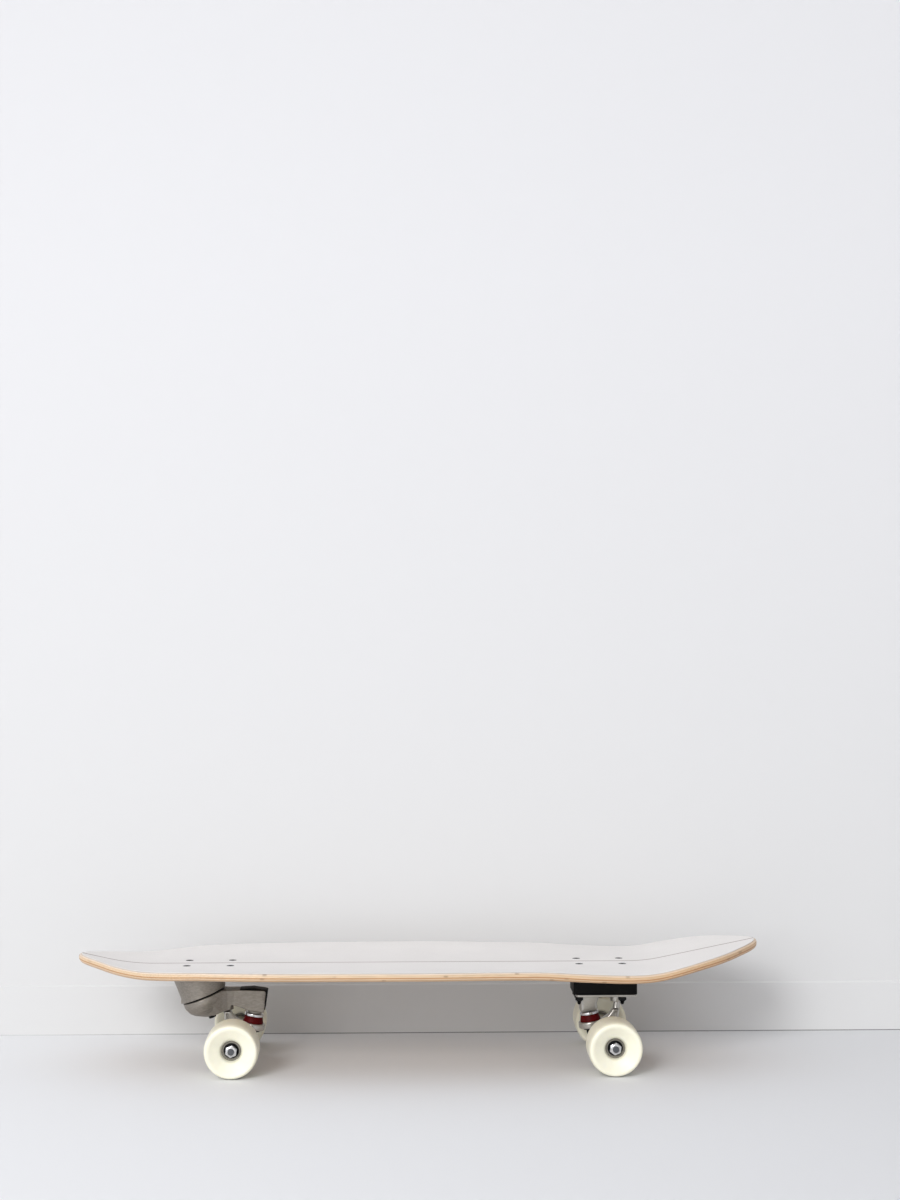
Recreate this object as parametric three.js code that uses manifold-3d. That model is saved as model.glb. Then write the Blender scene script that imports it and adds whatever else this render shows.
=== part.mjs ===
// A surf skateboard: a kicked, concave laminated deck on a spring-centred swing arm at the front
// and a fixed, riser-mounted truck at the rear.
// Millimetres, +Z up, +X toward the tail. The origin is on the ground under the middle of the board.

import * as THREE from 'three';
import { mergeVertices } from 'three/addons/utils/BufferGeometryUtils.js';
import Module from 'manifold-3d';

const wasm = await Module();
wasm.setup();

const degree = Math.PI / 180;

// Clearances shared by all pieces
const fit = {
  gap: 0.3,       // between two faces that touch, and around a shaft in its bore
  overrun: 2,     // how far a cutter passes the face that it opens
  weld: 0.0001,   // vertices closer than this are one
};

// Facets of round shapes
const facets = { large: 32, medium: 16, small: 12, hexagon: 6 };

// Deck: wooden plate with a raised nose, a kicked tail and raised rails, under a thin grip sheet
const deck = {
  length: 849,
  width: 254,
  wood: 9.6,
  grip: 0.7,
  gripInset: 1.5,
  railRise: 7.5,
  topCorner: 2.2,
  bottomCorner: 3.5,
  tipWidth: 7,
  noseKickStartShare: 0.3887,
  noseKickBlend: 60,
  noseKickSlopeShare: 0.225,
  tailKickStartShare: 0.30978,
  tailKickBlend: 40,
  tailKickSlopeShare: 0.203,
  flatShare: 0.28,
  stations: 36,
  topSteps: 6,
};

// Half-width of the deck, as a share of its half-width, at shares of its length from the nose
const deckWidthShares = [
  [0, 0], [0.0294, 0.3], [0.0611, 0.487], [0.1163, 0.701], [0.1786, 0.858], [0.3264, 0.976],
  [0.503, 1], [0.636, 0.945], [0.784, 0.918], [0.857, 0.874], [0.916, 0.74],
  [0.946, 0.595], [0.9706, 0.405], [1, 0],
];

// Rise of the rails, as a share of the full rise, at shares of the length from the nose
const railRiseShares = [
  [0, 0.25], [0.05, 0.4], [0.11, 0.5], [0.19, 0.9], [0.5, 1], [0.66, 0.88], [0.75, 0.35],
  [0.8, 0.14], [0.86, 0.2], [0.91, 0.3], [1, 0.1],
];

// Deck bolts: countersunk, on the usual four-hole rectangle
const bolts = {
  spacingLong: 53.98,
  spacingWide: 41.3,
  shank: 5,
  head: 9.6,
  headRim: 0.6,
  headCone: 2.4,
  rearLength: 50.8,
  frontLength: 19,
  nutWidth: 9.5,
  nutHeight: 5,
  nutCollar: 1.3,
  frontPastSwing: 7.4,
  rearShortOfAxle: 9.4,
};

// Wheel with a centred core, on two bearings whose inner rings carry the speed ring and the spacer
const wheel = {
  diameter: 66,
  width: 51,
  tread: 35,
  lip: 2,
  lipEdge: 4.2,
  faceRim: 4.5,
  hubFace: 15,
  hubFlare: 3,
  coreBore: 17,
};
const bearing = { outer: 22, width: 7, spacing: 10, ringWall: 1.7, innerWall: 2, shieldDepth: 0.6, speedRing: 1 };

// Truck, in its own frame: x toward the middle of the board, z up, the origin at the middle of the axle
const truck = {
  axle: 8,
  axleBevel: 0.8,
  axleNutWidth: 13,
  axleNutHeight: 7.2,
  axleNutCollar: 1.6,
  axleEndPast: 1.7,
  housingEnd: 18.4,
  housingMiddle: 18.4,
  housingSwell: 21,
  housingSwellAt: 34,
  plateTop: 51.1,
  seatX: 22.4,
  seatZ: 27,
  kingpinTilt: 10 * degree,
  pivotX: -13.5,
  pivotZ: 42,
  frontPastSwing: 40.7,
  rearShare: 0.277385,
  wheelCentre: 89.5,
};

// Kingpin stack, measured downward along the kingpin from the seat
const stack = {
  kingpin: 9.5,
  kingpinEnd: 32,
  kingpinBevel: 1,
  headTop: 23.2,
  headHeight: 5,
  headWidth: 12.7,
  topWasher: 23.4,
  topWasherHeight: 3.4,
  washerPlate: 1.3,
  washerLip: 0.8,
  topBushingTop: 22.6,
  topBushingBottom: 25.4,
  topBushingHeight: 11.1,
  recess: 26.2,
  recessDepth: 1.5,
  web: 2.3,
  lowerRecess: 25,
  ring: 31.2,
  ringHeight: 8.6,
  ringBevel: 1.6,
  ringHole: 17,
  lowerBushing: 20,
  lowerWasher: 20.4,
  lowerWasherHeight: 1.6,
  nutWidth: 14.2,
  nutHeight: 7,
  nutCollar: 1.8,
};

// Hanger neck and its pivot nose
const neck = {
  width: 14,
  noseRoot: 9.4,
  noseTip: 7.8,
  ball: 10,
  rootX: -11.7,
  rootZ: 27,
};

// Neck outline seen from the side, as shares of the pivot's distance from the axle
const neckOutlineShares = [
  [-0.37, 0.62], [-0.345, 0.45], [-0.3, 0.2], [-0.2, -0.04], [0.1, -0.09], [0.14, 0.12],
  [0.13, 0.4], [0.11, 0.43], [-0.05, 0.53], [-0.12, 0.62], [-0.16, 0.71], [-0.36, 0.71],
];

// Web between the ring and the axle housing, seen from above
const gusset = { ringWidth: 25, housingWidth: 74, top: 9, bottom: -5, reach: 14 };

// Pivot cup: a plastic cup that holds the nose's ball
const cup = { outer: 15, mouth: 2, height: 9.2 };

// Rear baseplate under its riser
const plate = {
  length: 75.5,
  width: 54,
  thickness: 3.2,
  corner: 7,
  offset: 4,
  bossWidth: 22,
  bossInnerTop: 35,
  bossOuterTop: 9,
  bossOuterDrop: 14,
  pivotBoss: 19,
  pivotBossDrop: 8.4,
};
const riser = { height: 27, topLength: 79.6, topWidth: 57, bottomLength: 75.5, bottomWidth: 55, corner: 9 };

// Swing adapter: the arm turns on a leaning shaft under the base
const swing = {
  lean: 21.5 * degree,
  centreShare: 0.317197,
  aboveAxle: 49.4,
  disc: 56,
  parting: 2,
};
const base = {
  post: 55,
  postOffset: -1,
  flangeLength: 80,
  flangeWidth: 57,
  flangeThickness: 8,
  flangeCorner: 8,
  flangeShift: -3.5,
  cavity: 38,
  cavityDepth: 18.4,
  headPocket: 20,
  headPocketFloor: 22,
};
const shaft = {
  diameter: 12,
  shoulder: 15,
  head: 19,
  headHeight: 5,
  screwBore: 6,
  screwBoreDepth: 10,
};
const armBearing = { outer: 22, width: 6, lowerTop: 13.3 };
const thrust = { outer: 50, inner: 39 };
const hub = { flange: 36, flangeTop: 2.2, sleeve: 21.6, sleeveTop: 17 };
const spring = { mean: 28, wire: 4, turns: 2.5, pitch: 4.7, stepsPerTurn: 16, sides: 6 };
const screw = { shank: 5.4, head: 9.6, headHeight: 3, length: 14 };

// Swing arm: a bowl-shaped head round the shaft and a beam that carries the front truck
const arm = {
  width: 42,
  rootWidth: 54,
  taperWidth: 51.2,
  taperStart: 12,
  taperEnd: 26,
  length: 105.5,
  height: 57.3,
  headDepth: 25.9,
  pad: 24.8,
  padHeight: 5.5,
  pivotBoss: 22,
  pivotBossShift: -1.2,
  pivotBossTop: 51,
  pivotBossBottom: 31.7,
  pocketMouth: 15.6,
  pocketTop: 15,
};

// Bowl profile: radius as a share of the disc's radius, depth as a share of the head's depth
const bowlShares = [[1, 0], [1, 0.2], [0.975, 0.32], [0.87, 0.56], [0.7, 0.73], [0.48, 0.86], [0.3, 0.97], [0.2, 1]];

// Beam outline seen from the side: x as a share of the arm's length from the swing shaft's foot,
// z as a share of the arm's height above the axle
const beamOutlineShares = [
  [0.02, 0.5], [0.06, 0.45], [0.135, 0.455], [0.235, 0.545], [0.32, 0.575], [0.335, 0.68], [0.43, 0.625],
  [0.485, 0.595], [0.5, 0.56], [0.712, 0.507], [0.752, 0.978], [0.43, 1], [0.21, 1], [0.07, 0.9],
];

// Black cover let into the top and the end of the beam
const cover = {
  width: 38,
  thickness: 1.8,
  inset: 1.2,
  startShare: 0.43,
  topEndShare: 0.752,
  endTopShare: 0.978,
  footShare: 0.56,
  footXShare: 0.7205,
};

// Heights that follow from the sizes above
const axleZ = wheel.diameter / 2;
const plateTopZ = axleZ + truck.plateTop;
const riserBottomZ = plateTopZ + fit.gap;
const riserTopZ = riserBottomZ + riser.height;
const deckBottomZ = riserTopZ + fit.gap;
const deckTopZ = deckBottomZ + deck.wood;
const gripTopZ = deckTopZ + fit.gap + deck.grip;
const swingZ = axleZ + swing.aboveAxle;

// Places along the board: swing shaft and rear axle as shares of its length, the rest from those two
const swingX = -swing.centreShare * deck.length;
const frontAxleX = swingX + truck.frontPastSwing;
const rearAxleX = truck.rearShare * deck.length;
const frontBoltsX = swingX + bolts.frontPastSwing;
const rearBoltsX = rearAxleX - bolts.rearShortOfAxle;

// Finishes
const finish = {
  wood: { color: 0xdfc19f, roughness: 0.55, metalness: 0 },
  grip: { color: 0xe6e5e3, roughness: 0.85, metalness: 0 },
  blackSteel: { color: 0x18181a, roughness: 0.4, metalness: 0.8 },
  castAluminium: { color: 0x8b8680, roughness: 0.5, metalness: 0.9 },
  brightAluminium: { color: 0xb4b2b0, roughness: 0.35, metalness: 0.9 },
  steel: { color: 0xc9c9cc, roughness: 0.25, metalness: 1 },
  urethane: { color: 0xefecd6, roughness: 0.45, metalness: 0 },
  bushing: { color: 0x6a0f14, roughness: 0.4, metalness: 0 },
  blackPlastic: { color: 0x141416, roughness: 0.6, metalness: 0 },
};

// Turns a closed geometry into a solid that can be joined and cut
function solid(geometry) {
  const plain = new THREE.BufferGeometry();
  plain.setAttribute('position', geometry.getAttribute('position').clone());
  if (geometry.index) plain.setIndex(geometry.index.clone());
  const merged = mergeVertices(plain, fit.weld);
  const triangles = [];
  const index = merged.index.array;
  for (let i = 0; i < index.length; i += 3) {
    const [a, b, c] = [index[i], index[i + 1], index[i + 2]];
    if (a !== b && b !== c && c !== a) triangles.push(a, b, c);
  }
  const vertProperties = new Float32Array(merged.getAttribute('position').array);
  if (signedVolume(vertProperties, triangles) < 0) {
    for (let i = 0; i < triangles.length; i += 3) {
      [triangles[i + 1], triangles[i + 2]] = [triangles[i + 2], triangles[i + 1]];
    }
  }
  return new wasm.Manifold(new wasm.Mesh({ numProp: 3, vertProperties, triVerts: new Uint32Array(triangles) }));
}

function signedVolume(points, triangles) {
  const corner = (i) => new THREE.Vector3().fromArray(points, triangles[i] * 3);
  let sum = 0;
  for (let i = 0; i < triangles.length; i += 3) {
    sum += corner(i).dot(corner(i + 1).cross(corner(i + 2)));
  }
  return sum / 6;
}

function geometryOf(shape) {
  const mesh = shape.getMesh();
  const geometry = new THREE.BufferGeometry();
  geometry.setAttribute('position', new THREE.BufferAttribute(new Float32Array(mesh.vertProperties), 3));
  geometry.setIndex(new THREE.BufferAttribute(new Uint32Array(mesh.triVerts), 1));
  geometry.computeVertexNormals();
  return geometry;
}

const join = (...shapes) => shapes.reduce((whole, shape) => whole.add(shape));
const cut = (shape, ...cutters) => cutters.reduce((rest, cutter) => rest.subtract(cutter), shape);

// Adds a named piece to a group. A shape is a geometry or a solid.
function piece(parent, name, shape, look) {
  const geometry = shape.isBufferGeometry ? geometryOf(solid(shape)) : geometryOf(shape);
  const mesh = new THREE.Mesh(geometry, new THREE.MeshStandardMaterial(look));
  mesh.name = name;
  parent.add(mesh);
  return mesh;
}

// Solid of revolution about Z from points [radius, z]
function turned(points, sides) {
  const profile = points.map(([radius, z]) => new THREE.Vector2(radius, z));
  return new THREE.LatheGeometry(profile, sides).rotateX(Math.PI / 2);
}

// Plain round bar about Z, from one height to another
function bar(diameter, from, to, sides = facets.medium) {
  return turned([[0, from], [diameter / 2, from], [diameter / 2, to], [0, to]], sides);
}

// Hexagonal nut about Z with a round bore and a turned collar on top
function hexNut(widthFlats, bore, height, collar) {
  const corner = widthFlats / Math.sqrt(3);
  const inside = widthFlats / 2 - fit.gap;
  const body = solid(turned([[0, 0], [corner, 0], [corner, height - collar], [0, height - collar]], facets.hexagon));
  const crown = solid(turned([[0, 0], [inside, 0], [inside, height], [0, height]], facets.small));
  return cut(join(body, crown), solid(bar(bore, -fit.overrun, height + fit.overrun, facets.small)));
}

// Prism whose outline [x, z] is seen from the side, as wide as asked, centred on Y
function sidePrism(outline, width) {
  const shape = new THREE.Shape(outline.map(([x, z]) => new THREE.Vector2(x, z)));
  const prism = new THREE.ExtrudeGeometry(shape, { depth: width, bevelEnabled: false });
  return prism.rotateX(Math.PI / 2).translate(0, width / 2, 0);
}

// Outline of a rectangle with round corners, as points [x, y]
function roundRectangle(length, width, corner) {
  const points = [];
  const steps = 4;
  const centres = [[1, 1], [-1, 1], [-1, -1], [1, -1]];
  centres.forEach(([sideX, sideY], quarter) => {
    for (let i = 0; i <= steps; i += 1) {
      const angle = (quarter + i / steps) * Math.PI / 2;
      points.push([
        sideX * (length / 2 - corner) + corner * Math.cos(angle),
        sideY * (width / 2 - corner) + corner * Math.sin(angle),
      ]);
    }
  });
  return points;
}

// Closed solid through rings of the same number of points. Each end is closed by a fan from its middle.
// Each four-sided face is split along its shorter diagonal, so that parallel surfaces are split alike.
function loft(rings) {
  const count = rings[0].length;
  const points = rings.flat();
  const apart = (i, j) => Math.hypot(...points[i].map((value, axis) => value - points[j][axis]));
  const index = [];
  for (let r = 0; r < rings.length - 1; r += 1) {
    for (let i = 0; i < count; i += 1) {
      const next = (i + 1) % count;
      const [a, b] = [r * count + i, r * count + next];
      const [c, d] = [a + count, b + count];
      index.push(...(apart(a, d) <= apart(b, c) ? [a, b, d, a, d, c] : [a, b, c, b, d, c]));
    }
  }
  for (const [ring, first] of [[rings[0], true], [rings[rings.length - 1], false]]) {
    const middle = points.length;
    points.push([0, 1, 2].map((axis) => ring.reduce((sum, point) => sum + point[axis], 0) / count));
    const start = first ? 0 : (rings.length - 1) * count;
    for (let i = 0; i < count; i += 1) {
      const edge = [start + i, start + (i + 1) % count];
      index.push(middle, ...(first ? edge.reverse() : edge));
    }
  }
  const geometry = new THREE.BufferGeometry();
  geometry.setAttribute('position', new THREE.Float32BufferAttribute(points.flat(), 3));
  geometry.setIndex(index);
  return geometry;
}

// Plate that runs between two round-cornered rectangles, one above the other
function taperedPlate(bottom, bottomZ, top, topZ) {
  const ring = ([length, width, corner], z) => roundRectangle(length, width, corner).map(([x, y]) => [x, y, z]);
  return loft([ring(bottom, bottomZ), ring(top, topZ)]);
}

// Smooth curve through a table of [place, value] without overshoot
function curveThrough(table) {
  const last = table.length - 1;
  const rise = table.slice(1).map(([x, y], i) => (y - table[i][1]) / (x - table[i][0]));
  const slope = table.map((_, i) => {
    if (i === 0) return rise[0];
    if (i === last) return rise[last - 1];
    const [before, after] = [rise[i - 1], rise[i]];
    return before * after <= 0 ? 0 : 2 * before * after / (before + after);
  });
  return (x) => {
    let i = 0;
    while (i < last - 1 && x > table[i + 1][0]) i += 1;
    const [x0, y0] = table[i];
    const [x1, y1] = table[i + 1];
    const span = x1 - x0;
    const t = (x - x0) / span;
    const [t2, t3] = [t * t, t * t * t];
    return (2 * t3 - 3 * t2 + 1) * y0 + (t3 - 2 * t2 + t) * span * slope[i]
      + (3 * t2 - 2 * t3) * y1 + (t3 - t2) * span * slope[i + 1];
  };
}

// The tips are round when the width is a smooth function of this angle
const tipAngle = (share) => Math.acos(1 - 2 * share);
const widthCurve = curveThrough(deckWidthShares.map(([share, width]) => [tipAngle(share), width]));
const railCurve = curveThrough(railRiseShares);

function kick(distance, blend, slope) {
  if (distance <= 0) return 0;
  return distance < blend ? slope * distance * distance / (2 * blend) : slope * (distance - blend / 2);
}

// Height of the deck's middle line above its flat part
function rocker(x) {
  return kick(-x - deck.noseKickStartShare * deck.length, deck.noseKickBlend, deck.noseKickSlopeShare)
    + kick(x - deck.tailKickStartShare * deck.length, deck.tailKickBlend, deck.tailKickSlopeShare);
}

// Solid along the deck. The section gets a station's x and half-width and the height of the board over y.
function deckLoft(section) {
  const rings = [];
  const tip = deck.tipWidth / 2;
  const margin = 2 * Math.asin(Math.sqrt(tip / deck.length));
  for (let station = 0; station <= deck.stations; station += 1) {
    const angle = margin + (Math.PI - 2 * margin) * station / deck.stations;
    const share = (1 - Math.cos(angle)) / 2;
    const end = station === 0 || station === deck.stations;
    const x = end ? Math.sign(share - 1 / 2) * deck.length / 2 : (share - 1 / 2) * deck.length;
    const half = Math.max(widthCurve(angle) * deck.width / 2, tip);
    const rail = deck.railRise * railCurve(share);
    const height = (y) => {
      const outside = Math.max(Math.abs(y) / half - deck.flatShare, 0) / (1 - deck.flatShare);
      return rocker(x) + rail * outside * outside;
    };
    rings.push(section(x, half, height));
  }
  return loft(rings);
}

// Points across the board from one side to the other, as [x, y, z], following its height
function across(x, half, side, z, height) {
  const points = [];
  for (let i = 0; i <= deck.topSteps; i += 1) {
    const y = side * half * (2 * i / deck.topSteps - 1);
    points.push([x, y, z + height(y)]);
  }
  return points;
}

function woodShape() {
  return deckLoft((x, half, height) => {
    const top = Math.min(deck.topCorner, half / 2);
    const bottom = Math.min(deck.bottomCorner, half / 2);
    const edge = (side, z) => [x, side * half, z + height(half)];
    return [
      ...across(x, half - top, 1, deckTopZ, height), edge(1, deckTopZ - top), edge(1, deckBottomZ + bottom),
      ...across(x, half - bottom, -1, deckBottomZ, height), edge(-1, deckBottomZ + bottom), edge(-1, deckTopZ - top),
    ];
  });
}

// The grip sheet ends where the rail's top corner starts, and a little short of both tips
function gripShape() {
  const bottom = deckTopZ + fit.gap;
  const sheet = deckLoft((x, half, height) => {
    const rim = half - Math.min(deck.topCorner, half / 2);
    return [...across(x, rim, 1, gripTopZ, height), ...across(x, rim, -1, bottom, height)];
  });
  const inside = new THREE.BoxGeometry(deck.length - 2 * deck.gripInset, deck.length, deck.length);
  return solid(sheet).intersect(solid(inside));
}

// Corner places of a bolt pattern round its centre
function boltPlaces(centreX) {
  const places = [];
  for (const sideX of [-1, 1]) {
    for (const sideY of [-1, 1]) {
      places.push([centreX + sideX * bolts.spacingLong / 2, sideY * bolts.spacingWide / 2]);
    }
  }
  return places;
}
const frontBolts = boltPlaces(frontBoltsX);
const rearBolts = boltPlaces(rearBoltsX);
const boltHole = bolts.shank + 2 * fit.gap;
const headHole = bolts.head + 2 * fit.gap;

// Countersunk bolt, its head's face at z = 0
function boltShape(length) {
  const coneEnd = bolts.headRim + bolts.headCone;
  return turned([
    [0, 0], [bolts.head / 2, 0], [bolts.head / 2, -bolts.headRim],
    [bolts.shank / 2, -coneEnd], [bolts.shank / 2, -length], [0, -length],
  ], facets.small);
}

// Hole that a deck bolt needs, its countersink at z = 0
function boltHoleShape(depth) {
  const coneEnd = bolts.headRim + bolts.headCone + fit.gap;
  return turned([
    [0, fit.overrun], [headHole / 2, fit.overrun], [headHole / 2, -bolts.headRim - fit.gap],
    [boltHole / 2, -coneEnd], [boltHole / 2, -depth], [0, -depth],
  ], facets.small);
}

function buildDeck(board) {
  const holeDepth = gripTopZ - deckBottomZ + fit.overrun;
  const holes = [...frontBolts, ...rearBolts].map(([x, y]) => solid(boltHoleShape(holeDepth).translate(x, y, gripTopZ)));
  piece(board, 'deck', cut(solid(woodShape()), ...holes), finish.wood);
  piece(board, 'grip_sheet', cut(gripShape(), ...holes), finish.grip);
}

function buildDeckBolts(board) {
  const sets = [
    { places: frontBolts, label: 'front_bolt', length: bolts.frontLength },
    { places: rearBolts, label: 'rear_bolt', length: bolts.rearLength },
  ];
  for (const { places, label, length } of sets) {
    places.forEach(([x, y], i) => {
      piece(board, `${label}_${i + 1}`, boltShape(length).translate(x, y, gripTopZ), finish.blackSteel);
    });
  }
  const nutTop = plateTopZ - plate.thickness - fit.gap;
  rearBolts.forEach(([x, y], i) => {
    const nut = hexNut(bolts.nutWidth, boltHole, bolts.nutHeight, bolts.nutCollar);
    const mesh = piece(board, `rear_nut_${i + 1}`, nut, finish.blackSteel);
    mesh.position.set(x, y, nutTop);
    mesh.rotation.x = Math.PI;
  });
}

function buildRiser(board) {
  const shape = taperedPlate(
    [riser.bottomLength, riser.bottomWidth, riser.corner], riserBottomZ,
    [riser.topLength, riser.topWidth, riser.corner], riserTopZ,
  ).translate(rearAxleX - plate.offset, 0, 0);
  const holes = rearBolts.map(([x, y]) => solid(
    bar(boltHole, riserBottomZ - fit.overrun, riserTopZ + fit.overrun, facets.small).translate(x, y, 0),
  ));
  piece(board, 'rear_riser', cut(solid(shape), ...holes), finish.blackPlastic);
}

// Moves a shape from the kingpin's frame, z up along the kingpin from the seat, to the truck's frame
const onKingpin = (geometry) => geometry.rotateY(truck.kingpinTilt).translate(truck.seatX, 0, truck.seatZ);

// Depths of the kingpin stack below the seat
const depth = {};
depth.topWasher = fit.gap;
depth.topBushing = depth.topWasher + stack.washerPlate + fit.gap;
depth.webTop = depth.topBushing + stack.topBushingHeight + fit.gap;
depth.ringTop = depth.webTop - stack.recessDepth;
depth.ringBottom = depth.ringTop + stack.ringHeight;
depth.webBottom = depth.webTop + stack.web;
depth.lowerWasher = depth.ringBottom + 2 * fit.gap;
depth.nut = depth.lowerWasher + stack.lowerWasherHeight + fit.gap;

// Bore, head pocket and stack clearance that a kingpin needs in what carries it
function kingpinBore(pocketTop) {
  const pocketFloor = stack.headTop - stack.headHeight - fit.gap;
  const pocket = stack.headWidth / Math.sqrt(3) * 2 + 2 * fit.gap;
  return join(
    solid(onKingpin(bar(stack.kingpin + 2 * fit.gap, -fit.overrun, pocketTop))),
    solid(onKingpin(bar(pocket, pocketFloor, pocketTop))),
  );
}

function buildKingpinSet(group, side) {
  const radius = stack.kingpin / 2;
  const headFloor = stack.headTop - stack.headHeight;
  const bolt = join(
    solid(turned([
      [0, stack.headTop], [radius, stack.headTop], [radius, -stack.kingpinEnd + stack.kingpinBevel],
      [radius - stack.kingpinBevel, -stack.kingpinEnd], [0, -stack.kingpinEnd],
    ], facets.small)),
    solid(bar(stack.headWidth / Math.sqrt(3) * 2, headFloor, stack.headTop, facets.hexagon)),
  );
  const bore = radius + fit.gap;
  const cupRadius = stack.topWasher / 2;
  const cupInside = cupRadius - stack.washerLip;
  const topWasher = turned([
    [bore, 0], [cupRadius, 0], [cupRadius, -stack.topWasherHeight], [cupInside, -stack.topWasherHeight],
    [cupInside, -stack.washerPlate], [bore, -stack.washerPlate], [bore, 0],
  ], facets.medium);
  const skirt = stack.topWasherHeight - stack.washerPlate;
  const topBushing = turned([
    [bore, 0], [cupInside - fit.gap, 0], [cupInside - fit.gap, -skirt], [stack.topBushingTop / 2, -skirt - fit.gap],
    [stack.topBushingBottom / 2, -stack.topBushingHeight], [bore, -stack.topBushingHeight], [bore, 0],
  ], facets.medium);
  const ringShape = (outer, height) => turned([
    [bore, 0], [outer / 2, 0], [outer / 2, -height], [bore, -height], [bore, 0],
  ], facets.medium);
  const nut = hexNut(stack.nutWidth, stack.kingpin + 2 * fit.gap, stack.nutHeight, stack.nutCollar);
  const lowerHeight = depth.lowerWasher - depth.webBottom - 2 * fit.gap;
  const pieces = [
    [`${side}_kingpin`, bolt, 0, 0, finish.blackSteel],
    [`${side}_top_cup_washer`, topWasher, depth.topWasher, 0, finish.steel],
    [`${side}_top_bushing`, topBushing, depth.topBushing, 0, finish.bushing],
    [`${side}_lower_bushing`, ringShape(stack.lowerBushing, lowerHeight), depth.webBottom + fit.gap, 0,
      finish.bushing],
    [`${side}_lower_washer`, ringShape(stack.lowerWasher, stack.lowerWasherHeight), depth.lowerWasher, 0,
      finish.blackSteel],
    [`${side}_kingpin_nut`, nut, depth.nut, Math.PI, finish.blackSteel],
  ];
  const frame = new THREE.Group();
  frame.position.set(truck.seatX, 0, truck.seatZ);
  frame.rotation.y = truck.kingpinTilt;
  group.add(frame);
  for (const [name, shape, down, flip, look] of pieces) {
    const mesh = piece(frame, name, shape, look);
    mesh.position.z = -down;
    mesh.rotation.x = flip;
  }
}

// Bar between two places in the XZ plane, with its own thickness at each end
function strut(from, to, fromDiameter, toDiameter, sides) {
  const [dx, dz] = [to[0] - from[0], to[1] - from[1]];
  const length = Math.hypot(dx, dz);
  const shape = turned([[0, 0], [fromDiameter / 2, 0], [toDiameter / 2, length], [0, length]], sides);
  return shape.rotateY(Math.atan2(dx, dz)).translate(from[0], 0, from[1]);
}

const housingHalf = truck.wheelCentre - bearing.spacing / 2 - bearing.width - bearing.speedRing - fit.gap;

function hangerShape() {
  const housing = turned([
    [0, -housingHalf], [truck.housingEnd / 2, -housingHalf], [truck.housingSwell / 2, -truck.housingSwellAt],
    [truck.housingMiddle / 2, -neck.width], [truck.housingMiddle / 2, neck.width],
    [truck.housingSwell / 2, truck.housingSwellAt], [truck.housingEnd / 2, housingHalf], [0, housingHalf],
  ], facets.medium).rotateX(Math.PI / 2);
  const ringRadius = stack.ring / 2;
  const ring = turned([
    [0, -depth.ringTop], [ringRadius - stack.ringBevel, -depth.ringTop], [ringRadius, -depth.ringTop - stack.ringBevel],
    [ringRadius, -depth.ringBottom + stack.ringBevel], [ringRadius - stack.ringBevel, -depth.ringBottom],
    [0, -depth.ringBottom],
  ], facets.large);
  const neckOutline = neckOutlineShares.map(([x, z]) => [x * truck.pivotZ, z * truck.pivotZ]);
  const pivot = [truck.pivotX, truck.pivotZ];
  const ball = new THREE.SphereGeometry(neck.ball / 2, facets.small, facets.small / 2)
    .rotateX(Math.PI / 2).translate(truck.pivotX, 0, truck.pivotZ);
  const wing = new THREE.Shape([
    new THREE.Vector2(gusset.reach, -gusset.ringWidth / 2), new THREE.Vector2(gusset.reach, gusset.ringWidth / 2),
    new THREE.Vector2(0, gusset.housingWidth / 2), new THREE.Vector2(0, -gusset.housingWidth / 2),
  ]);
  const web = new THREE.ExtrudeGeometry(wing, { depth: gusset.top - gusset.bottom, bevelEnabled: false })
    .translate(0, 0, gusset.bottom);
  const body = join(
    solid(housing), solid(onKingpin(ring)), solid(sidePrism(neckOutline, neck.width)), solid(web),
    solid(strut([neck.rootX, neck.rootZ], pivot, neck.noseRoot, neck.noseTip, facets.small)), solid(ball),
  );
  const clearRadius = stack.lowerRecess / 2;
  const cutters = [
    bar(stack.ringHole, -depth.ringBottom - fit.overrun, -depth.ringTop + fit.overrun),
    bar(stack.recess, -depth.webTop, -depth.ringTop + fit.overrun),
    bar(2 * clearRadius, -stack.kingpinEnd - fit.overrun, -depth.webBottom),
  ];
  const axleBore = bar(truck.axle + 2 * fit.gap, -housingHalf - fit.overrun, housingHalf + fit.overrun)
    .rotateX(Math.PI / 2);
  return cut(body, ...cutters.slice(0, 2).map((cutter) => solid(onKingpin(cutter))),
    solid(onKingpin(cutters[2])).subtract(solid(keepHousing())), solid(axleBore));
}

// Room round the axle housing that the kingpin's lower clearance leaves whole
function keepHousing() {
  return bar(truck.housingMiddle + fit.overrun, -housingHalf, housingHalf).rotateX(Math.PI / 2);
}

function buildHanger(group, side) {
  piece(group, `${side}_hanger`, hangerShape(), finish.brightAluminium);
  const half = truck.wheelCentre + bearing.spacing / 2 + bearing.width + bearing.speedRing + fit.gap
    + truck.axleNutHeight + truck.axleEndPast;
  const radius = truck.axle / 2;
  const axle = turned([
    [0, -half], [radius - truck.axleBevel, -half], [radius, -half + truck.axleBevel],
    [radius, half - truck.axleBevel], [radius - truck.axleBevel, half], [0, half],
  ], facets.medium).rotateX(Math.PI / 2);
  piece(group, `${side}_axle`, axle, finish.steel);
}

// Pivot cup, open downward, round the nose's ball
function buildPivotCup(group, side) {
  const mouth = truck.pivotZ - cup.mouth;
  const inside = neck.ball / 2 + fit.gap;
  const roof = [];
  const steps = 4;
  for (let i = 0; i <= steps; i += 1) {
    const angle = i / steps * Math.PI / 2;
    roof.push([inside * Math.cos(angle), truck.pivotZ + inside * Math.sin(angle)]);
  }
  roof[steps][0] = 0;
  const shape = turned([
    [inside, mouth], ...roof, [0, mouth + cup.height], [cup.outer / 2, mouth + cup.height], [cup.outer / 2, mouth],
    [inside, mouth],
  ], facets.small).translate(truck.pivotX, 0, 0);
  piece(group, `${side}_pivot_cup`, shape, finish.blackPlastic);
}

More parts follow.
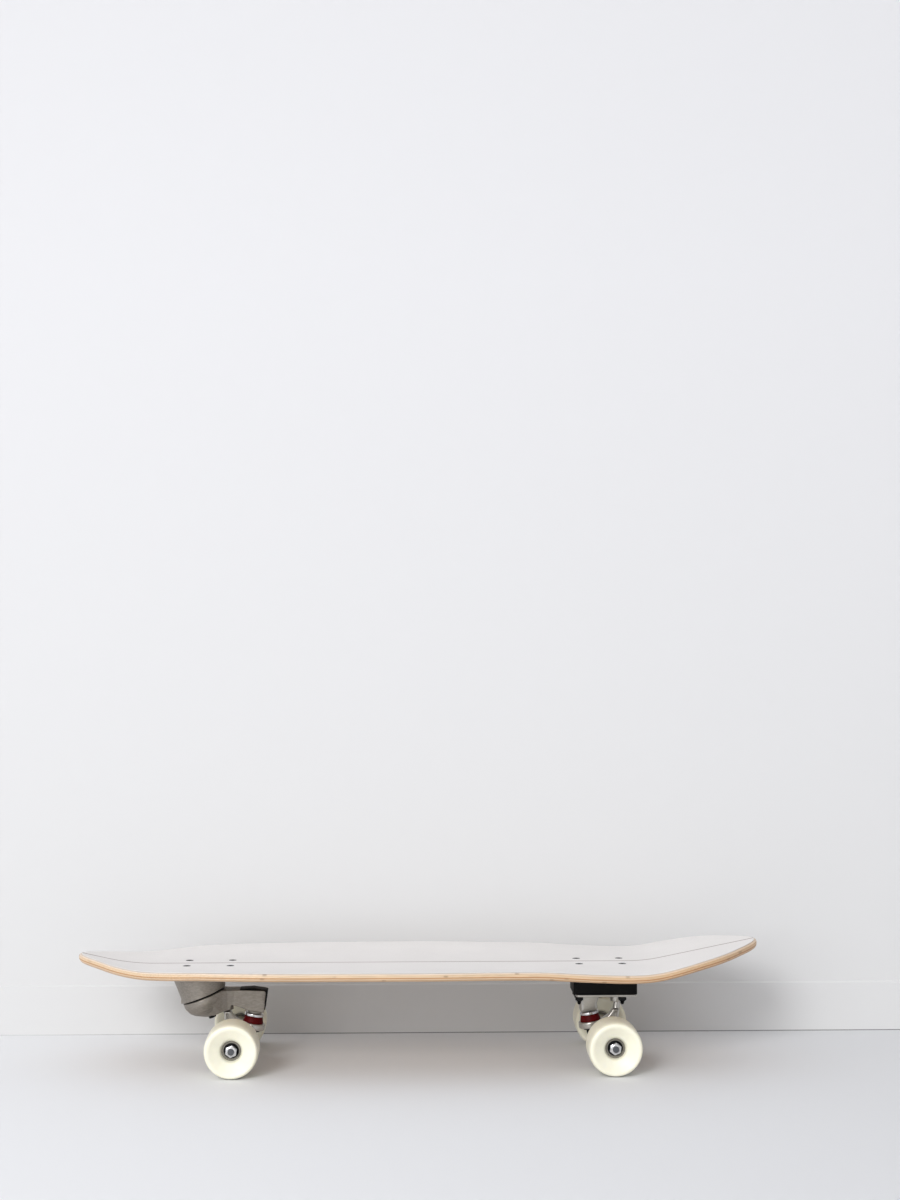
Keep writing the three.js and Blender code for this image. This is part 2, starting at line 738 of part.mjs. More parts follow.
function cupPocket() {
  const mouth = truck.pivotZ - cup.mouth;
  return bar(cup.outer + 2 * fit.gap, mouth - fit.overrun, mouth + cup.height + fit.gap, facets.small)
    .translate(truck.pivotX, 0, 0);
}

// Rear baseplate, in the truck's frame
function buildBaseplate(group) {
  const bottom = truck.plateTop - plate.thickness;
  const sheetOutline = [plate.length, plate.width, plate.corner];
  const sheet = taperedPlate(sheetOutline, bottom, sheetOutline, truck.plateTop).translate(plate.offset, 0, 0);
  const slope = Math.tan(truck.kingpinTilt);
  const seatRadius = stack.topWasher / 2;
  const innerX = truck.seatX + seatRadius;
  const outerX = truck.seatX - seatRadius;
  const bossOutline = [
    [outerX, truck.seatZ + slope * seatRadius], [innerX, truck.seatZ - slope * seatRadius],
    [plate.bossInnerTop, truck.plateTop - fit.gap], [plate.bossOuterTop, truck.plateTop - fit.gap],
    [outerX + fit.overrun, truck.plateTop - plate.bossOuterDrop],
  ];
  const pivotBoss = bar(plate.pivotBoss, truck.plateTop - plate.thickness - plate.pivotBossDrop,
    truck.plateTop - fit.gap).translate(truck.pivotX, 0, 0);
  const holes = rearBolts.map(([x, y]) => solid(
    bar(boltHole, bottom - fit.overrun, truck.plateTop + fit.overrun, facets.small)
      .translate(rearAxleX - x, -y, 0),
  ));
  const body = join(solid(sheet), solid(sidePrism(bossOutline, plate.bossWidth)), solid(pivotBoss));
  const openTop = stack.headTop + stack.headHeight;
  piece(group, 'rear_baseplate', cut(body, kingpinBore(openTop), solid(cupPocket()), ...holes),
    finish.brightAluminium);
}

// Wheel about its own axis, turned to lie along Y
function wheelShape() {
  const radius = wheel.diameter / 2;
  const half = wheel.width / 2;
  const seat = bearing.outer / 2 + fit.gap;
  const seatEnd = bearing.spacing / 2 + bearing.width + fit.gap;
  const side = [
    [wheel.coreBore / 2, bearing.spacing / 2 - fit.gap], [seat, bearing.spacing / 2 - fit.gap], [seat, seatEnd],
    [wheel.hubFace - wheel.hubFlare, seatEnd + fit.gap], [wheel.hubFace, half - wheel.faceRim - wheel.lipEdge],
    [radius - wheel.lipEdge - wheel.faceRim, half - wheel.lip], [radius - wheel.lipEdge, half],
    [radius - wheel.lip, half - wheel.lip / 2], [radius - wheel.lip / 4, half - wheel.lipEdge],
    [radius, wheel.tread / 2],
  ];
  const mirrored = side.map(([r, y]) => [r, -y]).reverse();
  return turned([...side, ...mirrored, side[0]], facets.large).rotateX(Math.PI / 2);
}

// Bearing, its middle at the origin and its speed ring toward +Y. The inner ring reaches to the other bearing.
function bearingShape() {
  const half = bearing.width / 2;
  const outer = bearing.outer / 2;
  const bore = truck.axle / 2 + fit.gap;
  const innerRing = bore + bearing.innerWall;
  const shield = half - bearing.shieldDepth;
  const spacerEnd = half + bearing.spacing / 2 - fit.gap / 2;
  return turned([
    [bore, -spacerEnd], [innerRing, -spacerEnd], [innerRing, -half], [outer, -half], [outer, half],
    [outer - bearing.ringWall, half], [outer - bearing.ringWall, shield], [innerRing, shield],
    [innerRing, half + bearing.speedRing], [bore, half + bearing.speedRing], [bore, -spacerEnd],
  ], facets.medium).rotateX(-Math.PI / 2);
}

// Wheels, bearings and axle nuts of one truck. Left is -Y, the near side seen with the nose on the left.
function buildWheels(board, side, axleX) {
  for (const [hand, sign] of [['left', -1], ['right', 1]]) {
    const place = (mesh, y) => mesh.position.set(axleX, sign * y, axleZ);
    place(piece(board, `${side}_${hand}_wheel`, wheelShape(), finish.urethane), truck.wheelCentre);
    const bearingOffset = (bearing.spacing + bearing.width) / 2;
    const outerMesh = piece(board, `${side}_${hand}_outer_bearing`, bearingShape(), finish.steel);
    place(outerMesh, truck.wheelCentre + bearingOffset);
    outerMesh.rotation.z = sign > 0 ? 0 : Math.PI;
    const innerMesh = piece(board, `${side}_${hand}_inner_bearing`, bearingShape(), finish.steel);
    place(innerMesh, truck.wheelCentre - bearingOffset);
    innerMesh.rotation.z = sign > 0 ? Math.PI : 0;
    const nutStart = truck.wheelCentre + bearing.spacing / 2 + bearing.width + bearing.speedRing + fit.gap;
    const nut = hexNut(truck.axleNutWidth, truck.axle + 2 * fit.gap, truck.axleNutHeight, truck.axleNutCollar);
    const nutMesh = piece(board, `${side}_${hand}_axle_nut`, nut, finish.steel);
    place(nutMesh, nutStart);
    nutMesh.rotation.x = -sign * Math.PI / 2;
  }
}

// Moves a shape from the swing shaft's frame, z up along the shaft from the parting plane, to the board's
const onSwing = (geometry) => geometry.rotateY(-swing.lean).translate(swingX, 0, swingZ);
const halfParting = swing.parting / 2;

// Block that fills one side of the parting plane
function beyondParting(sign) {
  const size = deck.width;
  return solid(onSwing(new THREE.BoxGeometry(size, size, size).translate(0, 0, sign * (halfParting - size / 2))));
}

function buildAdapterBase(board) {
  const top = deckBottomZ - fit.gap;
  const rise = top - swingZ;
  const leaning = solid(onSwing(bar(swing.disc, 0, rise / Math.cos(swing.lean) + base.flangeThickness, facets.large)));
  const post = solid(bar(base.post, 0, top, facets.large).translate(swingX + base.postOffset, 0, 0));
  const outline = [base.flangeLength, base.flangeWidth, base.flangeCorner];
  const flangeX = frontBoltsX + base.flangeShift;
  const flange = solid(taperedPlate(outline, top - base.flangeThickness, outline, top).translate(flangeX, 0, 0));
  const above = new THREE.BoxGeometry(deck.width, deck.width, deck.width)
    .translate(swingX, 0, top + deck.width / 2);
  const clearShaft = shaft.diameter + 2 * fit.gap;
  const farUp = rise * 2;
  const cutters = [
    bar(clearShaft, 0, farUp),
    bar(base.cavity, 0, halfParting + base.cavityDepth),
    bar(base.headPocket, base.headPocketFloor, farUp),
  ];
  const holes = frontBolts.map(([x, y]) => solid(
    bar(boltHole, top - bolts.frontLength, top + fit.overrun, facets.small).translate(x, y, 0),
  ));
  const body = join(leaning, post, flange);
  const shape = cut(body, solid(above), beyondParting(1), ...cutters.map((cutter) => solid(onSwing(cutter))),
    ...holes);
  piece(board, 'adapter_base', shape, finish.castAluminium);
}

// Places of the arm's bearings, as depths below the parting plane
const armTop = -halfParting;
const upperBearingTop = armTop - fit.gap;
const lowerBearingTop = armTop - armBearing.lowerTop;
const lowerBearingBottom = lowerBearingTop - armBearing.width;
const armFloor = lowerBearingBottom - fit.gap;
const armBottom = armTop - arm.headDepth;

// Places of the beam's outline: shares of the arm's length and height, from under the swing shaft
const beamX = (share) => swingX + share * arm.length;
const beamZ = (share) => axleZ + share * arm.height;

function buildArm(board) {
  const discRadius = swing.disc / 2;
  const bowl = bowlShares.map(([r, z]) => [r * discRadius, armTop - z * arm.headDepth]);
  const head = solid(onSwing(turned([[0, armTop], ...bowl, [0, armBottom]], facets.large)));
  const outline = beamOutlineShares.map(([x, z]) => [beamX(x), beamZ(z)]);
  const seenAbove = [
    [0, arm.rootWidth / 2], [arm.taperStart, arm.taperWidth / 2], [arm.taperEnd, arm.width / 2],
    [arm.length, arm.width / 2],
  ];
  const plan = new THREE.Shape([...seenAbove, ...seenAbove.map(([x, y]) => [x, -y]).reverse()]
    .map(([x, y]) => new THREE.Vector2(swingX + x, y)));
  const taper = new THREE.ExtrudeGeometry(plan, { depth: axleZ + 2 * arm.height, bevelEnabled: false });
  const beam = solid(sidePrism(outline, arm.rootWidth)).intersect(solid(taper));
  const toTruck = (geometry) => solid(geometry.translate(frontAxleX, 0, axleZ));
  const pad = toTruck(onKingpin(bar(arm.pad, 0, arm.padHeight)));
  const pivotBoss = toTruck(bar(arm.pivotBoss, arm.pivotBossBottom, arm.pivotBossTop)
    .translate(truck.pivotX + arm.pivotBossShift, 0, 0));
  const mouth = truck.pivotZ - cup.mouth;
  const pocket = toTruck(turned([
    [0, arm.pivotBossBottom - fit.overrun], [arm.pocketMouth / 2, arm.pivotBossBottom - fit.overrun],
    [arm.pocketTop / 2, mouth], [0, mouth],
  ], facets.medium).translate(truck.pivotX, 0, 0));
  const kingpinHole = kingpinBore(arm.height).translate([frontAxleX, 0, axleZ]);
  const bearingBore = bar(armBearing.outer + 2 * fit.gap, armFloor, armTop + fit.overrun);
  const screwHole = bar(screw.shank + 2 * fit.gap, armBottom - fit.overrun, armFloor + fit.overrun, facets.small);
  const shape = cut(join(head, beam, pad, pivotBoss), beyondParting(-1), pocket, toTruck(cupPocket()),
    kingpinHole, solid(onSwing(bearingBore)), solid(onSwing(screwHole)), solid(coverShape(fit.gap)));
  piece(board, 'swing_arm', shape, finish.castAluminium);
  const headRoom = kingpinBore(stack.headTop + fit.gap).translate([frontAxleX, 0, axleZ]);
  piece(board, 'arm_cover', cut(solid(coverShape(0)), headRoom), finish.blackPlastic);
}

// Cover let into the beam: a strip on top and a plate on the end, grown by a margin to make its recess
function coverShape(margin) {
  const slopeTop = [beamX(cover.topEndShare), beamZ(cover.endTopShare)];
  const start = [beamX(cover.startShare) - margin, beamZ(1)];
  const foot = [beamX(cover.footXShare), beamZ(cover.footShare) - margin];
  const proud = cover.thickness - cover.inset;
  const outline = [
    [start[0], start[1] + proud], [start[0], start[1] - cover.inset - margin],
    [slopeTop[0] - cover.inset - margin, slopeTop[1] - cover.inset - margin],
    [foot[0] - cover.inset - margin, foot[1]], [foot[0] + proud, foot[1]],
    [slopeTop[0] + proud, slopeTop[1] + proud],
  ];
  return sidePrism(outline, cover.width + 2 * margin);
}

function buildSwingParts(board) {
  const frame = new THREE.Group();
  frame.position.set(swingX, 0, swingZ);
  frame.rotation.y = -swing.lean;
  board.add(frame);
  const radius = shaft.diameter / 2;
  const shoulder = shaft.shoulder / 2;
  const upperBearingBottom = upperBearingTop - armBearing.width;
  const headBottom = base.headPocketFloor + fit.gap;
  const shaftBody = turned([
    [0, lowerBearingBottom + fit.gap], [radius, lowerBearingBottom + fit.gap], [radius, lowerBearingTop + fit.gap],
    [shoulder, lowerBearingTop + fit.gap], [shoulder, upperBearingBottom - fit.gap],
    [radius, upperBearingBottom - fit.gap], [radius, headBottom],
    [shaft.head / 2, headBottom], [shaft.head / 2, headBottom + shaft.headHeight], [0, headBottom + shaft.headHeight],
  ], facets.medium);
  const threadHole = bar(shaft.screwBore, armBottom, armFloor + shaft.screwBoreDepth, facets.small);
  piece(frame, 'pivot_shaft', cut(solid(shaftBody), solid(threadHole)), finish.blackSteel);

  const ringPiece = (name, outer, inner, from, to, look) => piece(frame, name, turned([
    [inner / 2, from], [outer / 2, from], [outer / 2, to], [inner / 2, to], [inner / 2, from],
  ], facets.medium), look);
  const bearingBore = shaft.diameter + 2 * fit.gap;
  ringPiece('upper_arm_bearing', armBearing.outer, bearingBore, upperBearingTop - armBearing.width, upperBearingTop,
    finish.steel);
  ringPiece('lower_arm_bearing', armBearing.outer, bearingBore, lowerBearingBottom, lowerBearingTop, finish.steel);
  ringPiece('thrust_bearing', thrust.outer, thrust.inner, -halfParting + fit.gap, halfParting - fit.gap,
    finish.blackPlastic);

  const hubBottom = armTop + fit.gap;
  piece(frame, 'spring_hub', turned([
    [bearingBore / 2, hubBottom], [hub.flange / 2, hubBottom], [hub.flange / 2, hub.flangeTop],
    [hub.sleeve / 2, hub.flangeTop], [hub.sleeve / 2, hub.sleeveTop], [bearingBore / 2, hub.sleeveTop],
    [bearingBore / 2, hubBottom],
  ], facets.medium), finish.blackSteel);
  piece(frame, 'return_spring', coil(), finish.steel);

  const screwTop = armBottom + screw.length - screw.headHeight;
  piece(frame, 'retaining_screw', turned([
    [0, armBottom - fit.gap - screw.headHeight], [screw.head / 2, armBottom - fit.gap - screw.headHeight],
    [screw.head / 2, armBottom - fit.gap], [screw.shank / 2, armBottom - fit.gap], [screw.shank / 2, screwTop],
    [0, screwTop],
  ], facets.small), finish.blackSteel);
}

// Torsion spring: one unbroken round wire on a helix about the swing shaft
function coil() {
  const steps = Math.round(spring.turns * spring.stepsPerTurn);
  const start = hub.flangeTop + fit.gap + spring.wire / 2;
  const ringAt = (step) => {
    const angle = step / spring.stepsPerTurn * 2 * Math.PI;
    const centre = start + spring.pitch * step / spring.stepsPerTurn;
    const points = [];
    for (let i = 0; i < spring.sides; i += 1) {
      const turn = i / spring.sides * 2 * Math.PI;
      const radius = spring.mean / 2 + spring.wire / 2 * Math.cos(turn);
      points.push([radius * Math.cos(angle), radius * Math.sin(angle), centre + spring.wire / 2 * Math.sin(turn)]);
    }
    return points;
  };
  const rings = [];
  for (let step = 0; step <= steps; step += 1) rings.push(ringAt(step));
  console.log(`return spring: least gap between turns ${leastGap(rings).toFixed(2)} mm`);
  return loft(rings);
}

// Least distance between points of the wire that are at least half a turn apart
function leastGap(rings) {
  const apart = spring.stepsPerTurn / 2;
  let least = Infinity;
  rings.forEach((ring, i) => rings.slice(i + apart).forEach((other) => {
    for (const a of ring) {
      for (const b of other) least = Math.min(least, Math.hypot(a[0] - b[0], a[1] - b[1], a[2] - b[2]));
    }
  }));
  return least;
}

const board = new THREE.Group();
buildDeck(board);
buildDeckBolts(board);
buildRiser(board);
buildAdapterBase(board);
buildSwingParts(board);
buildArm(board);

// The two trucks are alike and face each other, so the rear one is turned about
for (const [side, axleX, turn] of [['front', frontAxleX, 0], ['rear', rearAxleX, Math.PI]]) {
  const group = new THREE.Group();
  group.position.set(axleX, 0, axleZ);
  group.rotation.z = turn;
  board.add(group);
  buildHanger(group, side);
  buildKingpinSet(group, side);
  buildPivotCup(group, side);
  if (side === 'rear') buildBaseplate(group);
  buildWheels(board, side, axleX);
}

export default board;
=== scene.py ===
"""Surf skateboard with a swing arm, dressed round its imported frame. Metres, +X toward the tail."""

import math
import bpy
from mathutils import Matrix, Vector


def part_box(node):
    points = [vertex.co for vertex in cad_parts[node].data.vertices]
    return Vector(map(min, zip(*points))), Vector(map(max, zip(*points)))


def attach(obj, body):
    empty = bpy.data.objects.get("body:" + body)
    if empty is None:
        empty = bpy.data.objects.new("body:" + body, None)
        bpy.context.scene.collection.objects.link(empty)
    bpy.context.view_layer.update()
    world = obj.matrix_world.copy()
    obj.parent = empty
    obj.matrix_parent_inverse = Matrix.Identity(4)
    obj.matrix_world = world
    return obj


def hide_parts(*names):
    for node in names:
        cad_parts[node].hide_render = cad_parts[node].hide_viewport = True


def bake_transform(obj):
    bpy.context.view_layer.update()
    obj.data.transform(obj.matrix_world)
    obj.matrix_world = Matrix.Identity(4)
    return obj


bl_info = {
    "name": "Surf skateboard",
    "version": (1, 0, 0),
    "blender": (4, 5, 0),
    "location": "3D View > Sidebar > Surf Skate",
    "description": "Models the deck, trucks, swing arm and wheels of a surf skateboard round its frame",
    "category": "Add Mesh",
}

from functools import partial

import bpy
from mathutils import Matrix, Vector

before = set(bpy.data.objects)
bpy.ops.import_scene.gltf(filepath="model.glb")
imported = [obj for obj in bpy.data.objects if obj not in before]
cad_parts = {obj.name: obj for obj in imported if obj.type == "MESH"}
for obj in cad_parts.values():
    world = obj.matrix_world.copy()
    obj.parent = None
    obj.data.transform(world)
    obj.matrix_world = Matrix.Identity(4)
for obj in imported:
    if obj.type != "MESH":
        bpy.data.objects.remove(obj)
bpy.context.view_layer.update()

# Shapes are given in millimetres, while the frame and the scene are in metres
MM = 0.001
FINE = 1e-6
SIDES = {"front": 0.0, "rear": math.pi}
HANDS = {"left": -1, "right": 1}
UPRIGHT = Matrix.Identity(4)
UPSIDE_DOWN = Matrix.Rotation(math.pi, 4, "X")
LYING = Matrix.Rotation(math.pi / 2, 4, "X")


def centre_of(node):
    low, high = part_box(node)
    return (low + high) / 2


def size_of(node):
    low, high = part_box(node)
    return high - low


def at(x, y=0.0, z=0.0):
    """Matrix of a place in millimetres."""
    return Matrix.Translation((x * MM, y * MM, z * MM))


AXLE = {side: centre_of(f"{side}_axle") for side in SIDES}
WHEEL_Y = centre_of("front_right_wheel").y
TRUCK = {
    side: Matrix.Translation(AXLE[side]) @ Matrix.Rotation(turn, 4, "Z")
    for side, turn in SIDES.items()
}
# A truck's kingpin leans by 10 degrees, and its pivot stands on the other side of the axle
SEAT = Matrix.Translation(Vector((22.4, 0, 27)) * MM) @ Matrix.Rotation(math.radians(10), 4, "Y")
KINGPIN = {side: TRUCK[side] @ SEAT for side in SIDES}
PIVOT = Vector((-13.5, 0, 42)) * MM
PIVOT_LINE = Matrix.Translation((PIVOT.x, 0, 0))
# The shaft of the swing arm leans toward the nose
SWING_CENTRE = Vector((-269.3, 0, 82.4)) * MM
SWING = Matrix.Translation(SWING_CENTRE) @ Matrix.Rotation(math.radians(-21.5), 4, "Y")
# Gap between pieces that lie on each other, radius of a bolt hole, and side of a large cutter
GAP = 0.3
BOLT_HOLE = 2.8
LARGE = 300
RISER_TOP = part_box("rear_riser")[1].z / MM
DECK_BOTTOM = RISER_TOP + GAP


# Colours and shader nodes


def linear(code):
    """Linear colour from an sRGB hex code."""
    parts = [int(code[i : i + 2], 16) / 255 for i in (1, 3, 5)]
    return tuple(p / 12.92 if p <= 0.04045 else ((p + 0.055) / 1.055) ** 2.4 for p in parts)


def add_node(tree, kind, *values, inputs=None, output=0, **settings):
    """Adds a node with its settings and links, and returns one of its outputs.

    The values fill its inputs in order, and a dictionary fills others by name or number. An input
    takes a value, or a socket to link from. A colour is three values.
    """
    made = tree.nodes.new(f"ShaderNode{kind}")
    for key, value in settings.items():
        setattr(made, key, value)
    for key, value in {**dict(enumerate(values)), **(inputs or {})}.items():
        socket = made.inputs[key]
        if isinstance(value, bpy.types.NodeSocket):
            tree.links.new(value, socket)
        else:
            socket.default_value = (*value, 1) if socket.type == "RGBA" else value
    return made.outputs[output]


def new_material(name, **sockets):
    """Gives a new material, the function that adds a node to it, and its shader with its values."""
    material = bpy.data.materials.new(name)
    material.use_nodes = True
    shader = material.node_tree.nodes["Principled BSDF"]
    for key, value in sockets.items():
        shader.inputs[key.replace("_", " ")].default_value = value
    return material, partial(add_node, material.node_tree), shader


def link_to(shader, **patterns):
    """Links patterns to a shader's sockets of the same names."""
    for key, pattern in patterns.items():
        shader.id_data.links.new(pattern, shader.inputs[key.replace("_", " ")])


def coordinate(add, axis):
    """Place on the piece along an axis, in metres."""
    return add("SeparateXYZ", add("TexCoord", output="Object"), output=axis)


def noise_at(add, size_mm, stretch=(1, 1, 1), detail=3.0, roughness=0.55):
    """Noise whose blobs are about as large as the size, stretched by a share along each axis."""
    place = add("TexCoord", output="Object")
    scaled = add("Mapping", inputs={"Vector": place, "Scale": stretch})
    look = {"Vector": scaled, "Scale": 1 / (size_mm * MM), "Detail": detail, "Roughness": roughness}
    return add("TexNoise", inputs=look)


def tinted(add, colour, tone):
    """A colour made lighter and darker by a pattern of values round 1."""
    grey = add("CombineColor", tone, tone, tone)
    layers = {0: 1.0, 6: colour, 7: grey}
    return add("Mix", inputs=layers, output=2, data_type="RGBA", blend_type="MULTIPLY")


# Modelling by hand


def deselect_all():
    if bpy.context.object and bpy.context.object.mode != "OBJECT":
        bpy.ops.object.mode_set(mode="OBJECT")
    bpy.ops.object.select_all(action="DESELECT")


def take(piece):
    """Makes a piece the only selected and the active one."""
    deselect_all()
    piece.select_set(True)
    bpy.context.view_layer.objects.active = piece


def settle(piece, matrix=None):
    """Writes a piece's place into its mesh. With no matrix, its own place is kept."""
    take(piece)
    if matrix is not None:
        piece.matrix_world = matrix
    bpy.ops.object.transform_apply(location=True, rotation=True, scale=True)
    return piece


def heal():
    """Merges doubles and turns the faces outwards, in edit mode, then leaves it."""
    bpy.ops.mesh.select_all(action="SELECT")
    bpy.ops.mesh.remove_doubles(threshold=FINE)
    bpy.ops.mesh.normals_make_consistent(inside=False)
    bpy.ops.object.mode_set(mode="OBJECT")
    return bpy.context.object


def trace(points):
    """Draws an edge from point to point, in millimetres, and stays in edit mode."""
    deselect_all()
    bpy.ops.mesh.primitive_plane_add(size=MM, enter_editmode=True, location=(0, 0, 0))
    bpy.ops.mesh.merge(type="CENTER")
    path = [Vector(point) * MM for point in points]
    bpy.ops.transform.translate(value=path[0])
    for here, there in zip(path, path[1:]):
        bpy.ops.mesh.extrude_vertices_move(TRANSFORM_OT_translate={"value": there - here})


def turned(points, steps=64):
    """Solid of revolution about Z from points of radius and height."""
    trace([(radius, 0, height) for radius, height in points])
    bpy.ops.mesh.select_all(action="SELECT")
    bpy.ops.mesh.spin(steps=steps, angle=math.tau, center=(0, 0, 0), axis=(0, 0, 1))
    return heal()


def turned_ring(points, steps=64):
    """Solid of revolution from an outline that closes away from the axis."""
    return turned([*points, points[0]], steps)


def ring(outer, inner, low, high, steps=64, soft=0.3):
    """Ring with softened edges."""
    return soften(turned_ring([(inner, low), (outer, low), (outer, high), (inner, high)], steps), soft)


def rod(radius, low, high, steps=48):
    """Plain cutter or blank."""
    return turned([(0, low), (radius, low), (radius, high), (0, high)], steps)


def drawn_out(outline, way):
    """Solid from a flat outline that is drawn out by a way, in millimetres."""
    trace([*outline, outline[0]])
    bpy.ops.mesh.select_all(action="SELECT")
    bpy.ops.mesh.remove_doubles(threshold=FINE)
    bpy.ops.mesh.edge_face_add()
    bpy.ops.mesh.extrude_region_move(TRANSFORM_OT_translate={"value": [step * MM for step in way]})
    return heal()


def prism(outline, width):
    """Solid whose outline of x and z is seen from the side, its width centred on Y."""
    return drawn_out([(x, -width / 2, z) for x, z in outline], (0, width, 0))


def slab(outline, low, high):
    """Solid whose outline of x and y is seen from above."""
    return drawn_out([(x, y, low) for x, y in outline], (0, 0, high - low))


def large_cutter(height, x=0.0):
    """Cube to cut with, by the height and the x of its middle."""
    deselect_all()
    bpy.ops.mesh.primitive_cube_add(size=1, location=Vector((x, 0, height)) * MM)
    bpy.context.object.scale = Vector((LARGE, LARGE, LARGE)) * MM
    return settle(bpy.context.object)


def hexagon(flats, low, high):
    """Six-sided bar."""
    deselect_all()
    bpy.ops.mesh.primitive_cylinder_add(
        vertices=6,
        radius=flats / math.sqrt(3) * MM,
        depth=(high - low) * MM,
        location=(0, 0, (low + high) / 2 * MM),
    )
    return settle(bpy.context.object)


def apply(piece, kind, **settings):
    """Adds a modifier and applies it at once."""
    take(piece)
    modifier = piece.modifiers.new(kind.title(), kind)
    for key, value in settings.items():
        setattr(modifier, key, value)
    bpy.ops.object.modifier_apply(modifier=modifier.name)
    return piece


def soften(piece, width, angle=30, segments=3):
    """Rounds the sharp edges."""
    return apply(
        piece,
        "BEVEL",
        width=width * MM,
        segments=segments,
        limit_method="ANGLE",
        angle_limit=math.radians(angle),
        harden_normals=False,
        use_clamp_overlap=True,
    )


def combine(piece, others, operation):
    for other in others:
        apply(piece, "BOOLEAN", object=other, operation=operation, solver="MANIFOLD")
        bpy.data.objects.remove(other)
    return piece


def join(piece, *others):
    return combine(piece, others, "UNION")


def cut(piece, *others):
    return combine(piece, others, "DIFFERENCE")


def keep_inside(piece, *others):
    return combine(piece, others, "INTERSECT")


def cast(piece, grain, rounds):
    """Gives a joined solid the soft edges and fillets of a casting."""
    take(piece)
    piece.data.remesh_voxel_size = grain * MM
    bpy.ops.object.voxel_remesh()
    apply(piece, "SMOOTH", factor=0.5, iterations=rounds)


def copy_of(piece, matrix):
    """A copy with its own mesh, moved by a matrix."""
    twin = piece.copy()
    twin.data = piece.data.copy()
    bpy.context.scene.collection.objects.link(twin)
    return settle(twin, matrix)


def discard(*blanks):
    for blank in blanks:
        bpy.data.objects.remove(blank)


FINISHES = {}


def fit_out(piece, name, body, finish, *nodes, angle=35, bend=None):
    """Names a finished piece, gives it its finish, and hides the CAD nodes that it stands in place of.

    A piece without a bend is put on its body. A soft piece given a bend, a second body with the points
    where the bend starts and ends, only has its place written into its mesh and is not bent.
    """
    slot, material = FINISHES[finish]
    piece.name = piece.data.name = name
    piece.data.materials.clear()
    piece.data.materials.append(material)
    take(piece)
    bpy.ops.object.shade_smooth_by_angle(angle=math.radians(angle))
    if bend:
        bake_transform(piece)
    else:
        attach(piece, body)
    if nodes:
        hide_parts(*nodes)


def arc(centre, radius, start, end, steps):
    """Points on an arc, its angles in degrees."""
    angles = [math.radians(start + (end - start) * i / steps) for i in range(steps + 1)]
    return [(centre[0] + radius * math.cos(a), centre[1] + radius * math.sin(a)) for a in angles]


def round_rectangle(length, width, corner):
    """Outline of a rectangle with round corners."""
    points = []
    for quarter, (side_x, side_y) in enumerate(((1, 1), (-1, 1), (-1, -1), (1, -1))):
        middle = (side_x * (length / 2 - corner), side_y * (width / 2 - corner))
        points += arc(middle, corner, quarter * 90, quarter * 90 + 90, 8)
    return points


def both_ends(half):
    """Outline of a bar that is alike at both ends, from the points of its upper half."""
    end = half[-1][1]
    return [(0, -end), *[(radius, -y) for radius, y in reversed(half)], *half, (0, end)]


def curve_through(table):
    """Smooth function through places and values, without overshoot."""
    rises = [(b[1] - a[1]) / (b[0] - a[0]) for a, b in zip(table, table[1:])]
    slopes = [rises[0]]
    for before, after in zip(rises, rises[1:]):
        slopes.append(0 if before * after <= 0 else 2 * before * after / (before + after))
    slopes.append(rises[-1])

    def value(x):
        i = 0
        while i < len(table) - 2 and x > table[i + 1][0]:
            i += 1
        (x0, y0), (x1, y1) = table[i], table[i + 1]
        span = x1 - x0
        t = (x - x0) / span
        return (
            (2 * t**3 - 3 * t**2 + 1) * y0
            + (t**3 - 2 * t**2 + t) * span * slopes[i]
            + (3 * t**2 - 2 * t**3) * y1
            + (t**3 - t**2) * span * slopes[i + 1]
        )

    return value


# Shape of the deck: that of the frame, but with its rim level at both tips


HALF_LENGTH = size_of("deck").x / 2 / MM
HALF_WIDTH = size_of("deck").y / 2 / MM
# Shares of the length from the nose, with shares of the width, or of the rise of the rails
WIDTH_SHARES = [
    (0, 0), (0.0294, 0.3), (0.0611, 0.487), (0.1163, 0.701), (0.1786, 0.858), (0.3264, 0.976),
    (0.503, 1), (0.636, 0.945), (0.784, 0.918), (0.857, 0.874), (0.916, 0.74), (0.946, 0.595),
    (0.9706, 0.405), (1, 0),
]
RAIL_SHARES = [
    (0, 0), (0.05, 0.38), (0.11, 0.5), (0.19, 0.9), (0.5, 1), (0.66, 0.88), (0.75, 0.35),
    (0.8, 0.14), (0.86, 0.2), (0.91, 0.3), (1, 0),
]
RAIL_RISE = 7.5
FLAT_SHARE = 0.28
NARROWEST = 3.5
# Where each kick starts from the middle, the length of its bend, and its slope
NOSE_KICK = (330, 60, 0.225)
TAIL_KICK = (263, 40, 0.203)

width_at_tip_angle = curve_through([(math.acos(1 - 2 * s), w) for s, w in WIDTH_SHARES])
rail_at = curve_through(RAIL_SHARES)


def kick(distance, blend, slope):
    if distance <= 0:
        return 0.0
    return slope * distance**2 / (2 * blend) if distance < blend else slope * (distance - blend / 2)


def half_width(x):
    angle = math.acos(max(-1.0, min(1.0, -x / HALF_LENGTH)))
    return width_at_tip_angle(angle) * HALF_WIDTH


def board_height(x, y):
    """Height of the board's middle layer over its flat part, in millimetres."""
    rise = kick(-x - NOSE_KICK[0], *NOSE_KICK[1:]) + kick(x - TAIL_KICK[0], *TAIL_KICK[1:])
    half = max(half_width(x), NARROWEST)
    outside = max(min(abs(y) / half, 1.0) - FLAT_SHARE, 0) / (1 - FLAT_SHARE)
    return rise + RAIL_RISE * rail_at((x / HALF_LENGTH + 1) / 2) * outside**2


